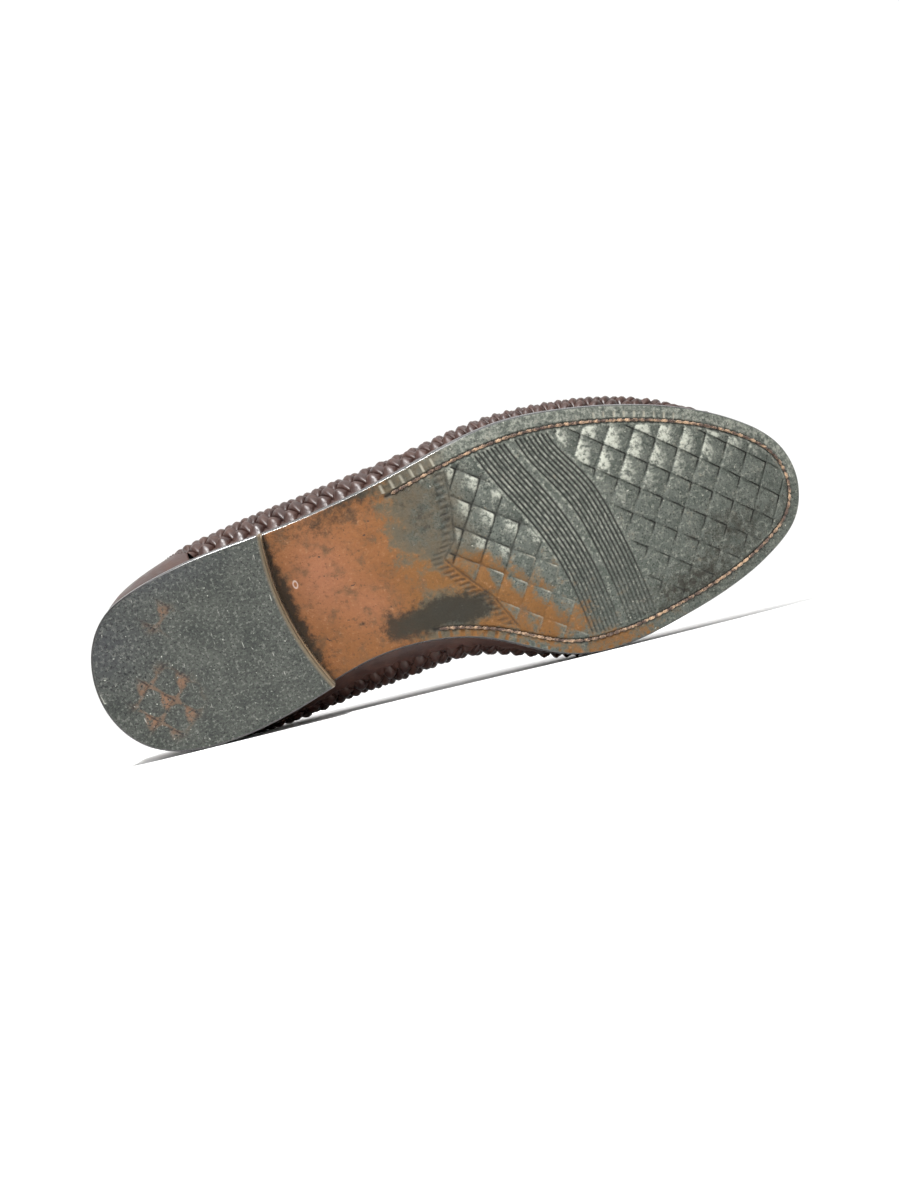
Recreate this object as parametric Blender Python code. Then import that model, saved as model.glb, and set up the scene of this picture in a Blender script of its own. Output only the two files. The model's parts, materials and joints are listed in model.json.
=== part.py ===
"""A right kiltie loafer with a woven leather upper, lying empty on its medial side.

The shoe is worked out in its own frame, in millimetres: x runs forward from the back of
the heel, y towards the medial side and z up from the ground under the sole. Its sides are
numbered 0 for lateral and 1 for medial. A station runs from 0 at the back of the heel to
1 at the tip of the toe, along either side.
"""
import math

import bmesh
import bpy
import numpy as np
from mathutils import Matrix, Vector

MM = 0.001
LATERAL, MEDIAL = 0, 1

# Driving sizes of the sole, millimetres
LENGTH = 307.0
HEEL_HEIGHT = 16.0
LIFT_HEIGHT = 5.7
OUTSOLE_THICKNESS = 4.6
WELT_THICKNESS = 2.6
INSOLE_PROUD = 1.8
TOE_SPRING = 8.0
TREAD_BACK_X = 200.0
TREAD_FRONT_X = 240.0
WAIST_BACK_X = 70.0
GAP = 0.3
LOWER_EDGE_ROUND = 0.9
UPPER_EDGE_ROUND = 0.6
WELT_INSET = 0.4
WELT_EDGE_ROUND = 0.4
INSOLE_CLEARANCE = 0.7

# Edge of the outsole in plan, one row for each section
SOLE_PLAN = [
    # x, lateral y, medial y
    (0.0, -5.0, -5.0),
    (12.0, -32.3, 22.0),
    (30.0, -39.4, 29.3),
    (55.0, -43.1, 29.5),
    (80.0, -44.2, 25.0),
    (105.0, -46.2, 19.6),
    (130.0, -49.7, 19.8),
    (155.0, -54.4, 27.3),
    (180.0, -57.7, 41.9),
    (205.0, -55.9, 47.2),
    (235.0, -49.5, 44.2),
    (265.0, -38.8, 37.8),
    (288.0, -26.0, 29.2),
    (300.0, -15.6, 21.0),
    (LENGTH, 3.0, 3.0),
]

# Heel: where its front face meets its lateral and medial sides, how far that face is
# hollowed and leans, and how far the layers stand in from the sole's edge
BREAST_X = (77.3, 86.5)
BREAST_HOLLOW = 5.0
BREAST_LEAN = 1.6
BREAST_POINTS = 5
HEEL_SIDE_POINTS = 15
LIFT_INSET = 0.1
LIFT_EDGE_ROUND = 0.6
BASE_INSET = 0.2

# Upper: wall, weave and the line that it leaves the welt on
WALL = 1.6
STRIP_RISE = 2.0
STRIP_WIDTH = 5.6
FEATHER_INSET = 2.2
FOOT_ARM = 0.58
RIDGE_ARM = 0.56
THROAT_FOOT_X = 150.0
THROAT_X = 140.0

# Height of the opening's edge, from the back of the heel to the throat
TOPLINE = [
    # x, lateral z, medial z
    (0.0, 82.5, 82.5),
    (20.0, 79.0, 80.0),
    (45.0, 74.0, 76.0),
    (75.0, 71.5, 74.0),
    (105.0, 74.0, 76.0),
    (125.0, 79.0, 80.0),
    (THROAT_X, 86.0, 86.0),
]

# Ridge of the last, from the top of its cone past the throat to the top of the toe
SPINE = [
    # x, y, z
    (25.0, -6.0, 103.0),
    (60.0, -7.5, 101.0),
    (100.0, -8.8, 96.5),
    (125.0, -8.8, 91.0),
    (THROAT_X, -8.0, 86.0),
    (160.0, -5.5, 78.0),
    (180.0, -3.2, 70.0),
    (205.0, -1.0, 61.0),
    (235.0, 0.8, 52.5),
    (255.0, 1.8, 47.5),
    (268.0, 2.4, 44.0),
]

# How far the wall swells past a plain curve between welt and top
FULLNESS = [
    # x, lateral, medial
    (0.0, 4.0, 4.0),
    (25.0, 6.5, 6.5),
    (50.0, 8.8, 10.0),
    (80.0, 11.0, 15.0),
    (105.0, 11.2, 19.0),
    (130.0, 9.6, 17.5),
    (155.0, 7.2, 11.0),
    (180.0, 6.5, 5.0),
    (205.0, 7.4, 3.5),
    (240.0, 8.0, 3.5),
    (275.0, 5.0, 3.5),
    (LENGTH, 3.0, 3.0),
]

# Plain leather overlays: height up the wall from the welt, one row for each section
OVERLAY_GAP = 0.6
OVERLAY_THICKNESS = 1.1
OVERLAY_LOW_ROWS = 1.25
COUNTER_HEIGHT = [
    # x, height
    (0.0, 50.0),
    (20.0, 47.0),
    (34.0, 36.0),
    (48.0, 15.0),
]
BAND_HEIGHT = [
    # x, height
    (48.0, 14.5),
    (70.0, 12.0),
    (120.0, 12.0),
    (165.0, 9.0),
    (205.0, 5.0),
]
COUNTER_FRONT_X = 48.0
BAND_FRONT_X = 205.0
COUNTER_ROWS = 7
BAND_ROWS = 3
BAND_BUTT = 0.08

# Bead on the edge of the opening
BINDING_HALF_WIDTH = 1.8
BINDING_HALF_HEIGHT = 1.4
BINDING_SIDES = 6

# Fringed flap over the front of the opening
KILTIE_BACK_X = 144.0
KILTIE_YOKE = 32.0
KILTIE_FRINGE = 28.0
KILTIE_BACK_HALF_WIDTH = 23.0
KILTIE_FRONT_HALF_WIDTH = 31.0
KILTIE_STRIPS = 9
KILTIE_SLIT = 0.16
KILTIE_THICKNESS = 1.4
KILTIE_CLEARANCE = 0.6
KILTIE_YOKE_ROWS = 4
KILTIE_FRINGE_ROWS = 4
KILTIE_TIP_LIFT = 1.6

# Fineness of the faceted forms
SOLE_STATIONS = 40
UPPER_STATIONS = 64
UPPER_ROWS = 14
LINING_STEP = 2
PROFILE_SAMPLES = 90
EDGE_SAMPLES = 800

# Densities for the balance of the lying shoe, grams per cubic millimetre
LEATHER_DENSITY = 0.00095
RUBBER_DENSITY = 0.00115

# Colour, roughness
MATERIALS = {
    "sole_leather": ((0.045, 0.047, 0.043), 0.55),
    "heel_black": ((0.012, 0.011, 0.011), 0.35),
    "heel_rubber": ((0.036, 0.040, 0.040), 0.80),
    "upper_brown": ((0.055, 0.024, 0.018), 0.38),
    "insole_tan": ((0.300, 0.140, 0.060), 0.60),
}


def smooth_curve(knots, values):
    """Natural cubic spline through rows of values, one row at each knot."""
    knots = np.asarray(knots, float)
    values = np.asarray(values, float)
    step = np.diff(knots)
    count = len(knots)
    system = np.eye(count)
    right = np.zeros_like(values)
    for i in range(1, count - 1):
        system[i, i - 1:i + 2] = step[i - 1], 2.0 * (step[i - 1] + step[i]), step[i]
        rise_after = (values[i + 1] - values[i]) / step[i]
        rise_before = (values[i] - values[i - 1]) / step[i - 1]
        right[i] = 6.0 * (rise_after - rise_before)
    bend = np.linalg.solve(system, right)

    def at(where):
        where = float(where)
        k = int(np.clip(np.searchsorted(knots, where) - 1, 0, count - 2))
        h = step[k]
        a = (knots[k + 1] - where) / h
        b = (where - knots[k]) / h
        curved = (a ** 3 - a) * bend[k] + (b ** 3 - b) * bend[k + 1]
        return a * values[k] + b * values[k + 1] + curved * h * h / 6.0

    return at


def smooth_step(value):
    value = min(max(value, 0.0), 1.0)
    return value * value * (3.0 - 2.0 * value)


def column(table, *indices):
    return [[row[i] for i in indices] for row in table]


def station_of(x):
    return math.acos(min(max(1.0 - 2.0 * x / LENGTH, -1.0), 1.0)) / math.pi


PLAN = smooth_curve([station_of(row[0]) for row in SOLE_PLAN], column(SOLE_PLAN, 1, 2))
SWELL = smooth_curve([row[0] for row in FULLNESS], column(FULLNESS, 1, 2))
RIDGE = smooth_curve([row[0] for row in SPINE], column(SPINE, 1, 2))
COLLAR = smooth_curve([row[0] for row in TOPLINE], column(TOPLINE, 1, 2))


def sole_edge(side, station, inset=0.0):
    """Plan point on the outsole's edge, moved inwards, and the outward direction there."""
    nudge = 1e-4

    def raw(s):
        return np.array([LENGTH / 2.0 * (1.0 - math.cos(math.pi * s)), PLAN(s)[side]])

    along = raw(min(station + nudge, 1.0)) - raw(max(station - nudge, 0.0))
    if station <= 0.0 or station >= 1.0:
        along[0] = 0.0
    along /= np.linalg.norm(along)
    outward = np.array([along[1], -along[0]]) if side == LATERAL else np.array([-along[1], along[0]])
    return raw(station) - inset * outward, outward


def underside(x):
    """Height of the outsole's lower face: level seat, waist, flat tread and toe spring."""
    if x < TREAD_BACK_X:
        return HEEL_HEIGHT * (1.0 - smooth_step((x - WAIST_BACK_X) / (TREAD_BACK_X - WAIST_BACK_X)))
    if x > TREAD_FRONT_X:
        return TOE_SPRING * ((x - TREAD_FRONT_X) / (LENGTH - TREAD_FRONT_X)) ** 2
    return 0.0


def even_stations(count, through=None):
    """Stations spaced evenly along the sole's edge, with one exactly at a given station."""
    fine = np.linspace(0.0, 1.0, EDGE_SAMPLES + 1)
    run = np.zeros(len(fine))
    for side in (LATERAL, MEDIAL):
        points = np.array([sole_edge(side, s)[0] for s in fine])
        run[1:] += np.cumsum(np.linalg.norm(np.diff(points, axis=0), axis=1))
    if through is None:
        return np.interp(np.linspace(0.0, run[-1], count + 1), run, fine)
    turning = np.interp(through, fine, run)
    before = round(count * turning / run[-1])
    stops = [*np.linspace(0.0, turning, before + 1), *np.linspace(turning, run[-1], count - before + 1)[1:]]
    return np.interp(stops, run, fine)


def outline_loop(stations, inset):
    """Closed plan loop: lateral side forward, medial side back."""
    lateral = [sole_edge(LATERAL, s, inset)[0] for s in stations]
    medial = [sole_edge(MEDIAL, s, inset)[0] for s in stations[-2:0:-1]]
    return lateral + medial


def make_object(name, points, faces, material, smooth_angle=40.0):
    """One closed solid from points in millimetres, its faces turned outwards."""
    mesh = bpy.data.meshes.new(name)
    body = bmesh.new()
    verts = [body.verts.new(Vector(p) * MM) for p in points]
    for face in faces:
        corners = list(dict.fromkeys(face))
        body.faces.new([verts[i] for i in corners])
    bmesh.ops.triangulate(body, faces=[f for f in body.faces if len(f.verts) > 3])
    bmesh.ops.recalc_face_normals(body, faces=body.faces)
    body.to_mesh(mesh)
    body.free()
    mesh.shade_smooth()
    mesh.set_sharp_from_angle(angle=math.radians(smooth_angle))
    mesh.materials.append(bpy.data.materials[material])
    piece = bpy.data.objects.new(name, mesh)
    bpy.context.collection.objects.link(piece)
    return piece


def make_materials():
    for name, (colour, roughness) in MATERIALS.items():
        material = bpy.data.materials.new(name)
        material.use_nodes = True
        shader = material.node_tree.nodes["Principled BSDF"]
        shader.inputs["Base Color"].default_value = (*colour, 1.0)
        shader.inputs["Roughness"].default_value = roughness
        shader.inputs["Metallic"].default_value = 0.0


def ring_walls(rings, size):
    """Quads between each ring of points and the next."""
    faces = []
    for level in range(rings - 1):
        low = level * size
        for i in range(size):
            j = (i + 1) % size
            faces.append((low + i, low + j, low + size + j, low + size + i))
    return faces


def make_plate(name, levels, material):
    """Full-length layer of the sole from (inset, height above the underside) levels."""
    stations = even_stations(SOLE_STATIONS)
    points = []
    for inset, height in levels:
        for x, y in outline_loop(stations, inset):
            points.append((x, y, underside(x) + height))
    size = 2 * SOLE_STATIONS
    faces = ring_walls(len(levels), size)
    for base in (0, (len(levels) - 1) * size):
        for i in range(SOLE_STATIONS):
            across = (size - i - 1) % size, (size - i) % size
            faces.append((base + i, base + i + 1, base + across[0], base + across[1]))
    return make_object(name, points, faces, material)


def make_welt():
    """Strip between outsole and upper, a closed ring with a rounded outer edge."""
    low = OUTSOLE_THICKNESS + GAP
    high = low + WELT_THICKNESS
    inner = FEATHER_INSET + WALL + GAP
    corner = WELT_INSET + WELT_EDGE_ROUND
    crest = (WELT_INSET, low + WELT_THICKNESS / 2.0)
    section = [(inner, low), (corner, low), crest, (corner, high), (inner, high)]
    stations = even_stations(SOLE_STATIONS)
    points = []
    for inset, height in section:
        for x, y in outline_loop(stations, inset):
            points.append((x, y, underside(x) + height))
    size = 2 * SOLE_STATIONS
    faces = ring_walls(len(section), size)
    last = (len(section) - 1) * size
    for i in range(size):
        j = (i + 1) % size
        faces.append((last + i, last + j, j, i))
    return make_object("welt", points, faces, "heel_black")


def heel_loop(inset, height):
    """Plan loop of the heel at one height, with its hollow front face."""
    lean = BREAST_LEAN * height / HEEL_HEIGHT
    ends = [station_of(BREAST_X[side] + lean) for side in (LATERAL, MEDIAL)]
    steps = np.linspace(0.0, 1.0, HEEL_SIDE_POINTS)
    lateral = [sole_edge(LATERAL, ends[0] * s, inset)[0] for s in steps]
    medial = [sole_edge(MEDIAL, ends[1] * s, inset)[0] for s in steps[::-1]]
    breast = []
    for k in range(1, BREAST_POINTS + 1):
        s = k / (BREAST_POINTS + 1.0)
        point = lateral[-1] * (1.0 - s) + medial[0] * s
        point = point - np.array([4.0 * BREAST_HOLLOW * s * (1.0 - s), 0.0])
        breast.append(point)
    return lateral + breast + medial[:-1]


def make_heel_layer(name, levels, material):
    """Layer of the heel from (inset, height) levels; the top level follows the outsole."""
    points = []
    for inset, height in levels:
        loop = heel_loop(inset, height)
        for x, y in loop:
            points.append((x, y, min(height, underside(x) - GAP)))
    size = len(loop)
    faces = ring_walls(len(levels), size)
    faces.append(tuple(range(size)))
    faces.append(tuple(range((len(levels) - 1) * size, len(levels) * size)))
    return make_object(name, points, faces, material)


def ridge_point(foot_x, toe_x):
    """Point of the last's ridge for the column that leaves the welt at foot_x, and its slope there."""
    if foot_x < THROAT_FOOT_X:
        back, front = SPINE[0][0], THROAT_X
        share = foot_x / THROAT_FOOT_X
    else:
        back, front = THROAT_X, SPINE[-1][0]
        share = (foot_x - THROAT_FOOT_X) / (toe_x - THROAT_FOOT_X)
    x = back + (front - back) * share
    ahead = min(x + 1.0, SPINE[-1][0])
    slope = RIDGE(ahead)[1] - RIDGE(ahead - 1.0)[1]
    return np.array([x, *RIDGE(x)]), slope


def wall_profile(side, station, toe_x, open_above):
    """One column of the wall's outer face in even steps, from the welt to the opening or the ridge."""
    (x, y), outward = sole_edge(side, station, FEATHER_INSET)
    low = OUTSOLE_THICKNESS + WELT_THICKNESS + 2.0 * GAP
    foot = np.array([x, y, underside(x) + low])
    ridge, slope = ridge_point(max(x - FEATHER_INSET, 0.0), toe_x)
    foot_arm = foot + np.array([0.0, 0.0, (ridge[2] - foot[2]) * FOOT_ARM])
    ridge_arm = ridge + (foot - ridge) * np.array([RIDGE_ARM, RIDGE_ARM, 0.0])
    ridge_arm[2] += slope * (ridge_arm[0] - ridge[0])
    fine = np.linspace(0.0, 1.0, PROFILE_SAMPLES + 1)[:, None]
    rest = 1.0 - fine
    curve = rest ** 3 * foot + 3 * rest ** 2 * fine * foot_arm + 3 * rest * fine ** 2 * ridge_arm
    curve = curve + fine ** 3 * ridge
    crest = 0.25 * 0.75 ** 3
    hump = fine * rest ** 3 / crest
    curve = curve + hump * SWELL(min(max(x, 0.0), LENGTH))[side] * np.array([*outward, 0.0])
    run = np.concatenate([[0.0], np.cumsum(np.linalg.norm(np.diff(curve, axis=0), axis=1))])
    end = run[-1]
    if open_above:
        over = np.array([point[2] - COLLAR(min(max(point[0], 0.0), THROAT_X))[side] for point in curve])
        crossing = int(np.argmax(over > 0.0))
        end = np.interp(0.0, over[crossing - 1:crossing + 1], run[crossing - 1:crossing + 1])
    even = np.linspace(0.0, end, UPPER_ROWS + 1)
    return np.stack([np.interp(even, run, curve[:, i]) for i in range(3)], axis=1), end


class Wall:
    """The upper's outer face as columns of points, with normals and ways to read between them."""

    def __init__(self):
        throat_station = station_of(THROAT_FOOT_X + FEATHER_INSET)
        self.stations = even_stations(UPPER_STATIONS, throat_station)
        self.throat = int(np.argmin(np.abs(self.stations - throat_station)))
        self.foot_x = [sole_edge(LATERAL, s, FEATHER_INSET)[0][0] for s in self.stations]
        toe_x = LENGTH - 2.0 * FEATHER_INSET
        last = UPPER_STATIONS
        self.points = np.zeros((2, last + 1, UPPER_ROWS + 1, 3))
        self.length = np.zeros((2, last + 1))
        for side in (LATERAL, MEDIAL):
            for k, station in enumerate(self.stations):
                rows, run = wall_profile(side, station, toe_x, k < self.throat)
                self.points[side, k] = rows
                self.length[side, k] = run
        self.join_halves()
        self.columns = [(LATERAL, k) for k in range(last + 1)]
        self.columns += [(MEDIAL, k) for k in range(last - 1, 0, -1)]
        self.normals = self.face_normals()

    def join_halves(self):
        """Give both sides the same points at the heel, at the toe and along the ridge."""
        for k in (0, UPPER_STATIONS):
            middle = self.points[:, k].mean(axis=0)
            self.points[:, k] = middle
        for k in range(self.throat, UPPER_STATIONS + 1):
            self.points[:, k, UPPER_ROWS] = self.points[:, k, UPPER_ROWS].mean(axis=0)

    def key(self, side, k, row):
        """One name for a point that both sides share."""
        shared = k in (0, UPPER_STATIONS) or (row == UPPER_ROWS and k >= self.throat)
        return (LATERAL if shared else side, k, row)

    def quads(self, rows):
        """Quads of the wall between the given rows, as keys, with the low corner first."""
        count = len(self.columns)
        found = []
        for c in range(count):
            side_a, k_a = self.columns[c]
            side_b, k_b = self.columns[(c + 1) % count]
            for low, high in zip(rows, rows[1:]):
                corners = [(side_a, k_a, low), (side_b, k_b, low), (side_b, k_b, high), (side_a, k_a, high)]
                found.append([self.key(*corner) for corner in corners])
        return found

    def face_normals(self):
        total = np.zeros_like(self.points)
        for quad in self.quads(list(range(UPPER_ROWS + 1))):
            a, b, c, d = [self.points[key] for key in quad]
            normal = np.cross(c - a, d - b)
            for key in quad:
                total[key] += normal
        for side in (LATERAL, MEDIAL):
            for k in range(UPPER_STATIONS + 1):
                for row in range(UPPER_ROWS + 1):
                    total[side, k, row] = total[self.key(side, k, row)]
        return total / np.linalg.norm(total, axis=3, keepdims=True)

    def read(self, side, k, height):
        """Point and normal at a height up the wall, between columns and rows."""
        k = min(max(k, 0.0), float(UPPER_STATIONS))
        before = min(int(k), UPPER_STATIONS - 1)
        share = k - before
        results = []
        for source in (self.points, self.normals):
            ends = []
            for col in (before, before + 1):
                row = np.clip(height / self.length[side, col], 0.0, 1.0) * UPPER_ROWS
                low = min(int(row), UPPER_ROWS - 1)
                part = row - low
                ends.append(source[side, col, low] * (1 - part) + source[side, col, low + 1] * part)
            results.append(ends[0] * (1.0 - share) + ends[1] * share)
        return results[0], results[1] / np.linalg.norm(results[1])


def table_height(table, x):
    return float(np.interp(x, [row[0] for row in table], [row[1] for row in table]))


def overlay_height(x):
    """Height of the plain leather up the wall at x."""
    return table_height(COUNTER_HEIGHT if x < COUNTER_FRONT_X else BAND_HEIGHT, x)


def strip_rise(wall, side, k, row):
    """How far a point of the weave stands out: every other point, clear of the overlays."""
    if row in (0, UPPER_ROWS) or (k + row) % 2 == 0:
        return 0.0
    spacing = wall.length[side, k] / UPPER_ROWS
    behind_x = wall.foot_x[max(k - 1, 0)]
    if behind_x < BAND_FRONT_X and spacing * (row - 1) < overlay_height(behind_x):
        return 0.0
    ridge_x = wall.points[side, k, UPPER_ROWS, 0]
    from_ridge = spacing * (UPPER_ROWS - row - 1)
    length = KILTIE_YOKE + KILTIE_FRINGE
    if KILTIE_BACK_X - spacing < ridge_x < KILTIE_BACK_X + length + spacing:
        if k >= wall.throat and from_ridge < KILTIE_FRONT_HALF_WIDTH:
            return 0.0
    neighbour = wall.points[side, max(k - 1, 0), row]
    width = np.linalg.norm(wall.points[side, k, row] - neighbour)
    return STRIP_RISE * min(1.0, width / STRIP_WIDTH)


def make_upper(wall):
    """Hollow woven wall, open at the collar and underneath."""
    index = {}
    points = []

    def outer(key):
        if ("outer", key) not in index:
            index["outer", key] = len(points)
            points.append(wall.points[key] + wall.normals[key] * strip_rise(wall, *key))
        return index["outer", key]

    def inner(key):
        if ("inner", key) not in index:
            index["inner", key] = len(points)
            points.append(wall.points[key] - wall.normals[key] * WALL)
        return index["inner", key]

    faces = []
    for a, b, c, d in wall.quads(list(range(UPPER_ROWS + 1))):
        a_is_high = (a[1] + a[2]) % 2 == 1
        halves = ((a, b, d), (b, c, d)) if a_is_high else ((a, b, c), (a, c, d))
        faces += [tuple(outer(key) for key in half) for half in halves]
    for quad in wall.quads(list(range(0, UPPER_ROWS + 1, LINING_STEP))):
        faces.append(tuple(inner(key) for key in quad))
    for a, b, c, d in wall.quads([0, UPPER_ROWS]):
        faces.append((outer(a), outer(b), inner(b), inner(a)))
        if max(c[1], d[1]) <= wall.throat:
            faces.append((outer(c), outer(d), inner(d), inner(c)))
    return make_object("upper", points, faces, "upper_brown")


def thick_sheet(name, grid_faces, place, low, high, material):
    """Solid from faces on a grid of keys, between two heights over the wall."""
    index = {}
    points = []

    def corner(key, offset):
        if (key, offset) not in index:
            index[key, offset] = len(points)
            position, normal = place(key)
            points.append(position + normal * offset)
        return index[key, offset]

    edges = {}
    faces = []
    for face in grid_faces:
        faces.append(tuple(corner(key, high) for key in face))
        faces.append(tuple(corner(key, low) for key in reversed(face)))
        for a, b in zip(face, face[1:] + face[:1]):
            edges[a, b] = edges.get((a, b), 0) + 1
    for a, b in edges:
        if (b, a) not in edges:
            faces.append((corner(a, low), corner(b, low), corner(b, high), corner(a, high)))
    return make_object(name, points, faces, material)


def make_overlay(name, wall, columns, table, rows):
    """Plain leather overlay on a run of (side, column) places, from the welt up."""
    high = OVERLAY_GAP + OVERLAY_THICKNESS

    def clear_of_welt(side, k):
        """Lowest height up the wall at which the overlay's lower edge stays over the welt."""
        height, step = 0.0, 0.25
        floor = wall.read(side, k, 0.0)[0][2]
        while True:
            point, normal = wall.read(side, k, height)
            if (point + normal * high)[2] >= floor:
                return height
            height += step

    def place(key):
        c, row = key
        side, k = columns[c]
        x = float(np.interp(k, range(UPPER_STATIONS + 1), wall.foot_x))
        low = clear_of_welt(side, k)
        share = (row / rows) ** OVERLAY_LOW_ROWS
        return wall.read(side, k, low + (table_height(table, x) - low) * share)

    faces = []
    for c in range(len(columns) - 1):
        for row in range(rows):
            faces.append([(c, row), (c + 1, row), (c + 1, row + 1), (c, row + 1)])
    return thick_sheet(name, faces, place, OVERLAY_GAP, high, "upper_brown")


def make_overlays(wall):
    """Counter round the heel, and a low band along each side in front of it."""
    ends = [int(np.searchsorted(wall.foot_x, x)) for x in (COUNTER_FRONT_X, BAND_FRONT_X)]
    front, far = ends[0] - 1, ends[1] - 1
    counter = [(MEDIAL, float(k)) for k in range(front, 0, -1)]
    counter += [(LATERAL, float(k)) for k in range(front + 1)]
    pieces = [make_overlay("counter", wall, counter, COUNTER_HEIGHT, COUNTER_ROWS)]
    for side, name in ((LATERAL, "band_lateral"), (MEDIAL, "band_medial")):
        run = [(side, front + BAND_BUTT)] + [(side, float(k)) for k in range(front + 1, far + 1)]
        if side == MEDIAL:
            run.reverse()
        pieces.append(make_overlay(name, wall, run, BAND_HEIGHT, BAND_ROWS))
    return pieces


def make_binding(wall):
    """Bead that sits on the edge of the opening all round."""
    loop = [(LATERAL, k) for k in range(wall.throat + 1)]
    loop += [(MEDIAL, k) for k in range(wall.throat - 1, 0, -1)]
    tops = [wall.points[side, k, UPPER_ROWS] for side, k in loop]
    normals = [wall.normals[side, k, UPPER_ROWS] for side, k in loop]
    size = len(loop)
    points = []
    for i in range(size):
        along = tops[(i + 1) % size] - tops[i - 1]
        along = along / np.linalg.norm(along)
        inwards = np.cross(normals[i], along)
        inwards = inwards / np.linalg.norm(inwards)
        centre = tops[i] - normals[i] * WALL / 2.0 + inwards * (GAP + BINDING_HALF_HEIGHT)
        for side in range(BINDING_SIDES):
            turn = 2.0 * math.pi * (side + 0.5) / BINDING_SIDES
            reach = normals[i] * BINDING_HALF_WIDTH * math.sin(turn)
            points.append(centre + reach + inwards * BINDING_HALF_HEIGHT * math.cos(turn))
    faces = []
    for i in range(size):
        after = (i + 1) % size
        for side in range(BINDING_SIDES):
            turned = (side + 1) % BINDING_SIDES
            a, b = i * BINDING_SIDES, after * BINDING_SIDES
            faces.append((a + side, b + side, b + turned, a + turned))
    return make_object("collar_binding", points, faces, "upper_brown")


def make_kiltie(wall):
    """Flap with a whole yoke and a front cut into strips, fused as one solid."""
    spine_x = [wall.points[LATERAL, k, UPPER_ROWS, 0] for k in range(wall.throat, UPPER_STATIONS + 1)]
    length = KILTIE_YOKE + KILTIE_FRINGE
    stops = np.concatenate([
        np.linspace(0.0, KILTIE_YOKE, KILTIE_YOKE_ROWS + 1),
        np.linspace(KILTIE_YOKE, length, KILTIE_FRINGE_ROWS + 1)[1:],
    ])
    edges = []
    for strip in range(KILTIE_STRIPS):
        slit = KILTIE_SLIT / 2.0
        edges += [strip + slit, strip + 0.5, strip + 1.0 - slit]
    across = np.array(edges) / KILTIE_STRIPS * 2.0 - 1.0

    def place(key):
        c, row = key
        share = stops[row] / length
        half = KILTIE_BACK_HALF_WIDTH + (KILTIE_FRONT_HALF_WIDTH - KILTIE_BACK_HALF_WIDTH) * share
        reach = across[c] * half
        side = LATERAL if reach < 0.0 else MEDIAL
        k = wall.throat + float(np.interp(KILTIE_BACK_X + stops[row], spine_x, range(len(spine_x))))
        run = float(np.interp(k, range(UPPER_STATIONS + 1), wall.length[side]))
        point, normal = wall.read(side, k, run - abs(reach))
        beyond = max(stops[row] - KILTIE_YOKE, 0.0) / KILTIE_FRINGE
        return point + normal * KILTIE_TIP_LIFT * beyond ** 2, normal

    faces = []
    for row in range(len(stops) - 1):
        for c in range(len(across) - 1):
            in_slit = c % 3 == 2
            if row < KILTIE_YOKE_ROWS or not in_slit:
                faces.append([(c, row), (c + 1, row), (c + 1, row + 1), (c, row + 1)])
    high = KILTIE_CLEARANCE + KILTIE_THICKNESS
    return thick_sheet("kiltie", faces, place, KILTIE_CLEARANCE, high, "upper_brown")


def mesh_balance(piece):
    """Volume and first moment of a closed mesh, millimetres."""
    volume = 0.0
    moment = Vector((0.0, 0.0, 0.0))
    piece.data.calc_loop_triangles()
    for triangle in piece.data.loop_triangles:
        a, b, c = [piece.data.vertices[i].co / MM for i in triangle.vertices]
        part = a.dot(b.cross(c)) / 6.0
        volume += part
        moment += (a + b + c) / 4.0 * part
    return volume, moment


def resting_turn(pieces):
    """Rotation that lays the shoe on the medial facet of its hull under its centre of mass."""
    mass = 0.0
    moment = Vector((0.0, 0.0, 0.0))
    hull = bmesh.new()
    for piece in pieces:
        density = RUBBER_DENSITY if piece.name == "heel_lift" else LEATHER_DENSITY
        volume, first = mesh_balance(piece)
        mass += volume * density
        moment += first * density
        for vertex in piece.data.vertices:
            hull.verts.new(vertex.co / MM)
    centre = moment / mass
    bmesh.ops.convex_hull(hull, input=hull.verts)
    bmesh.ops.recalc_face_normals(hull, faces=hull.faces)
    down = Vector((0.0, 1.0, 0.0))
    for face in hull.faces:
        corners = [v.co for v in face.verts]
        turns = []
        for before, after in zip(corners, corners[1:] + corners[:1]):
            turns.append((after - before).cross(centre - before).dot(face.normal))
        steepest = 0.5
        if min(turns) > 0.0 and face.normal.y > steepest:
            down = face.normal.copy()
    hull.free()
    up = -down
    forward = Vector((1.0, 0.0, 0.0))
    forward = (forward - up * forward.dot(up)).normalized()
    return Matrix((forward, up.cross(forward), up)).to_4x4()


def lay_down(pieces):
    """Hang every piece on one empty that lays the shoe on its side, its box centred on the origin."""
    turn = resting_turn(pieces)
    corners = [turn @ vertex.co for piece in pieces for vertex in piece.data.vertices]
    low = Vector([min(c[i] for c in corners) for i in range(3)])
    high = Vector([max(c[i] for c in corners) for i in range(3)])
    middle = (low + high) / 2.0
    stand = bpy.data.objects.new("lying_shoe", None)
    bpy.context.collection.objects.link(stand)
    stand.matrix_world = Matrix.Translation((-middle.x, -middle.y, -low.z)) @ turn
    for piece in pieces:
        piece.parent = stand


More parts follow.
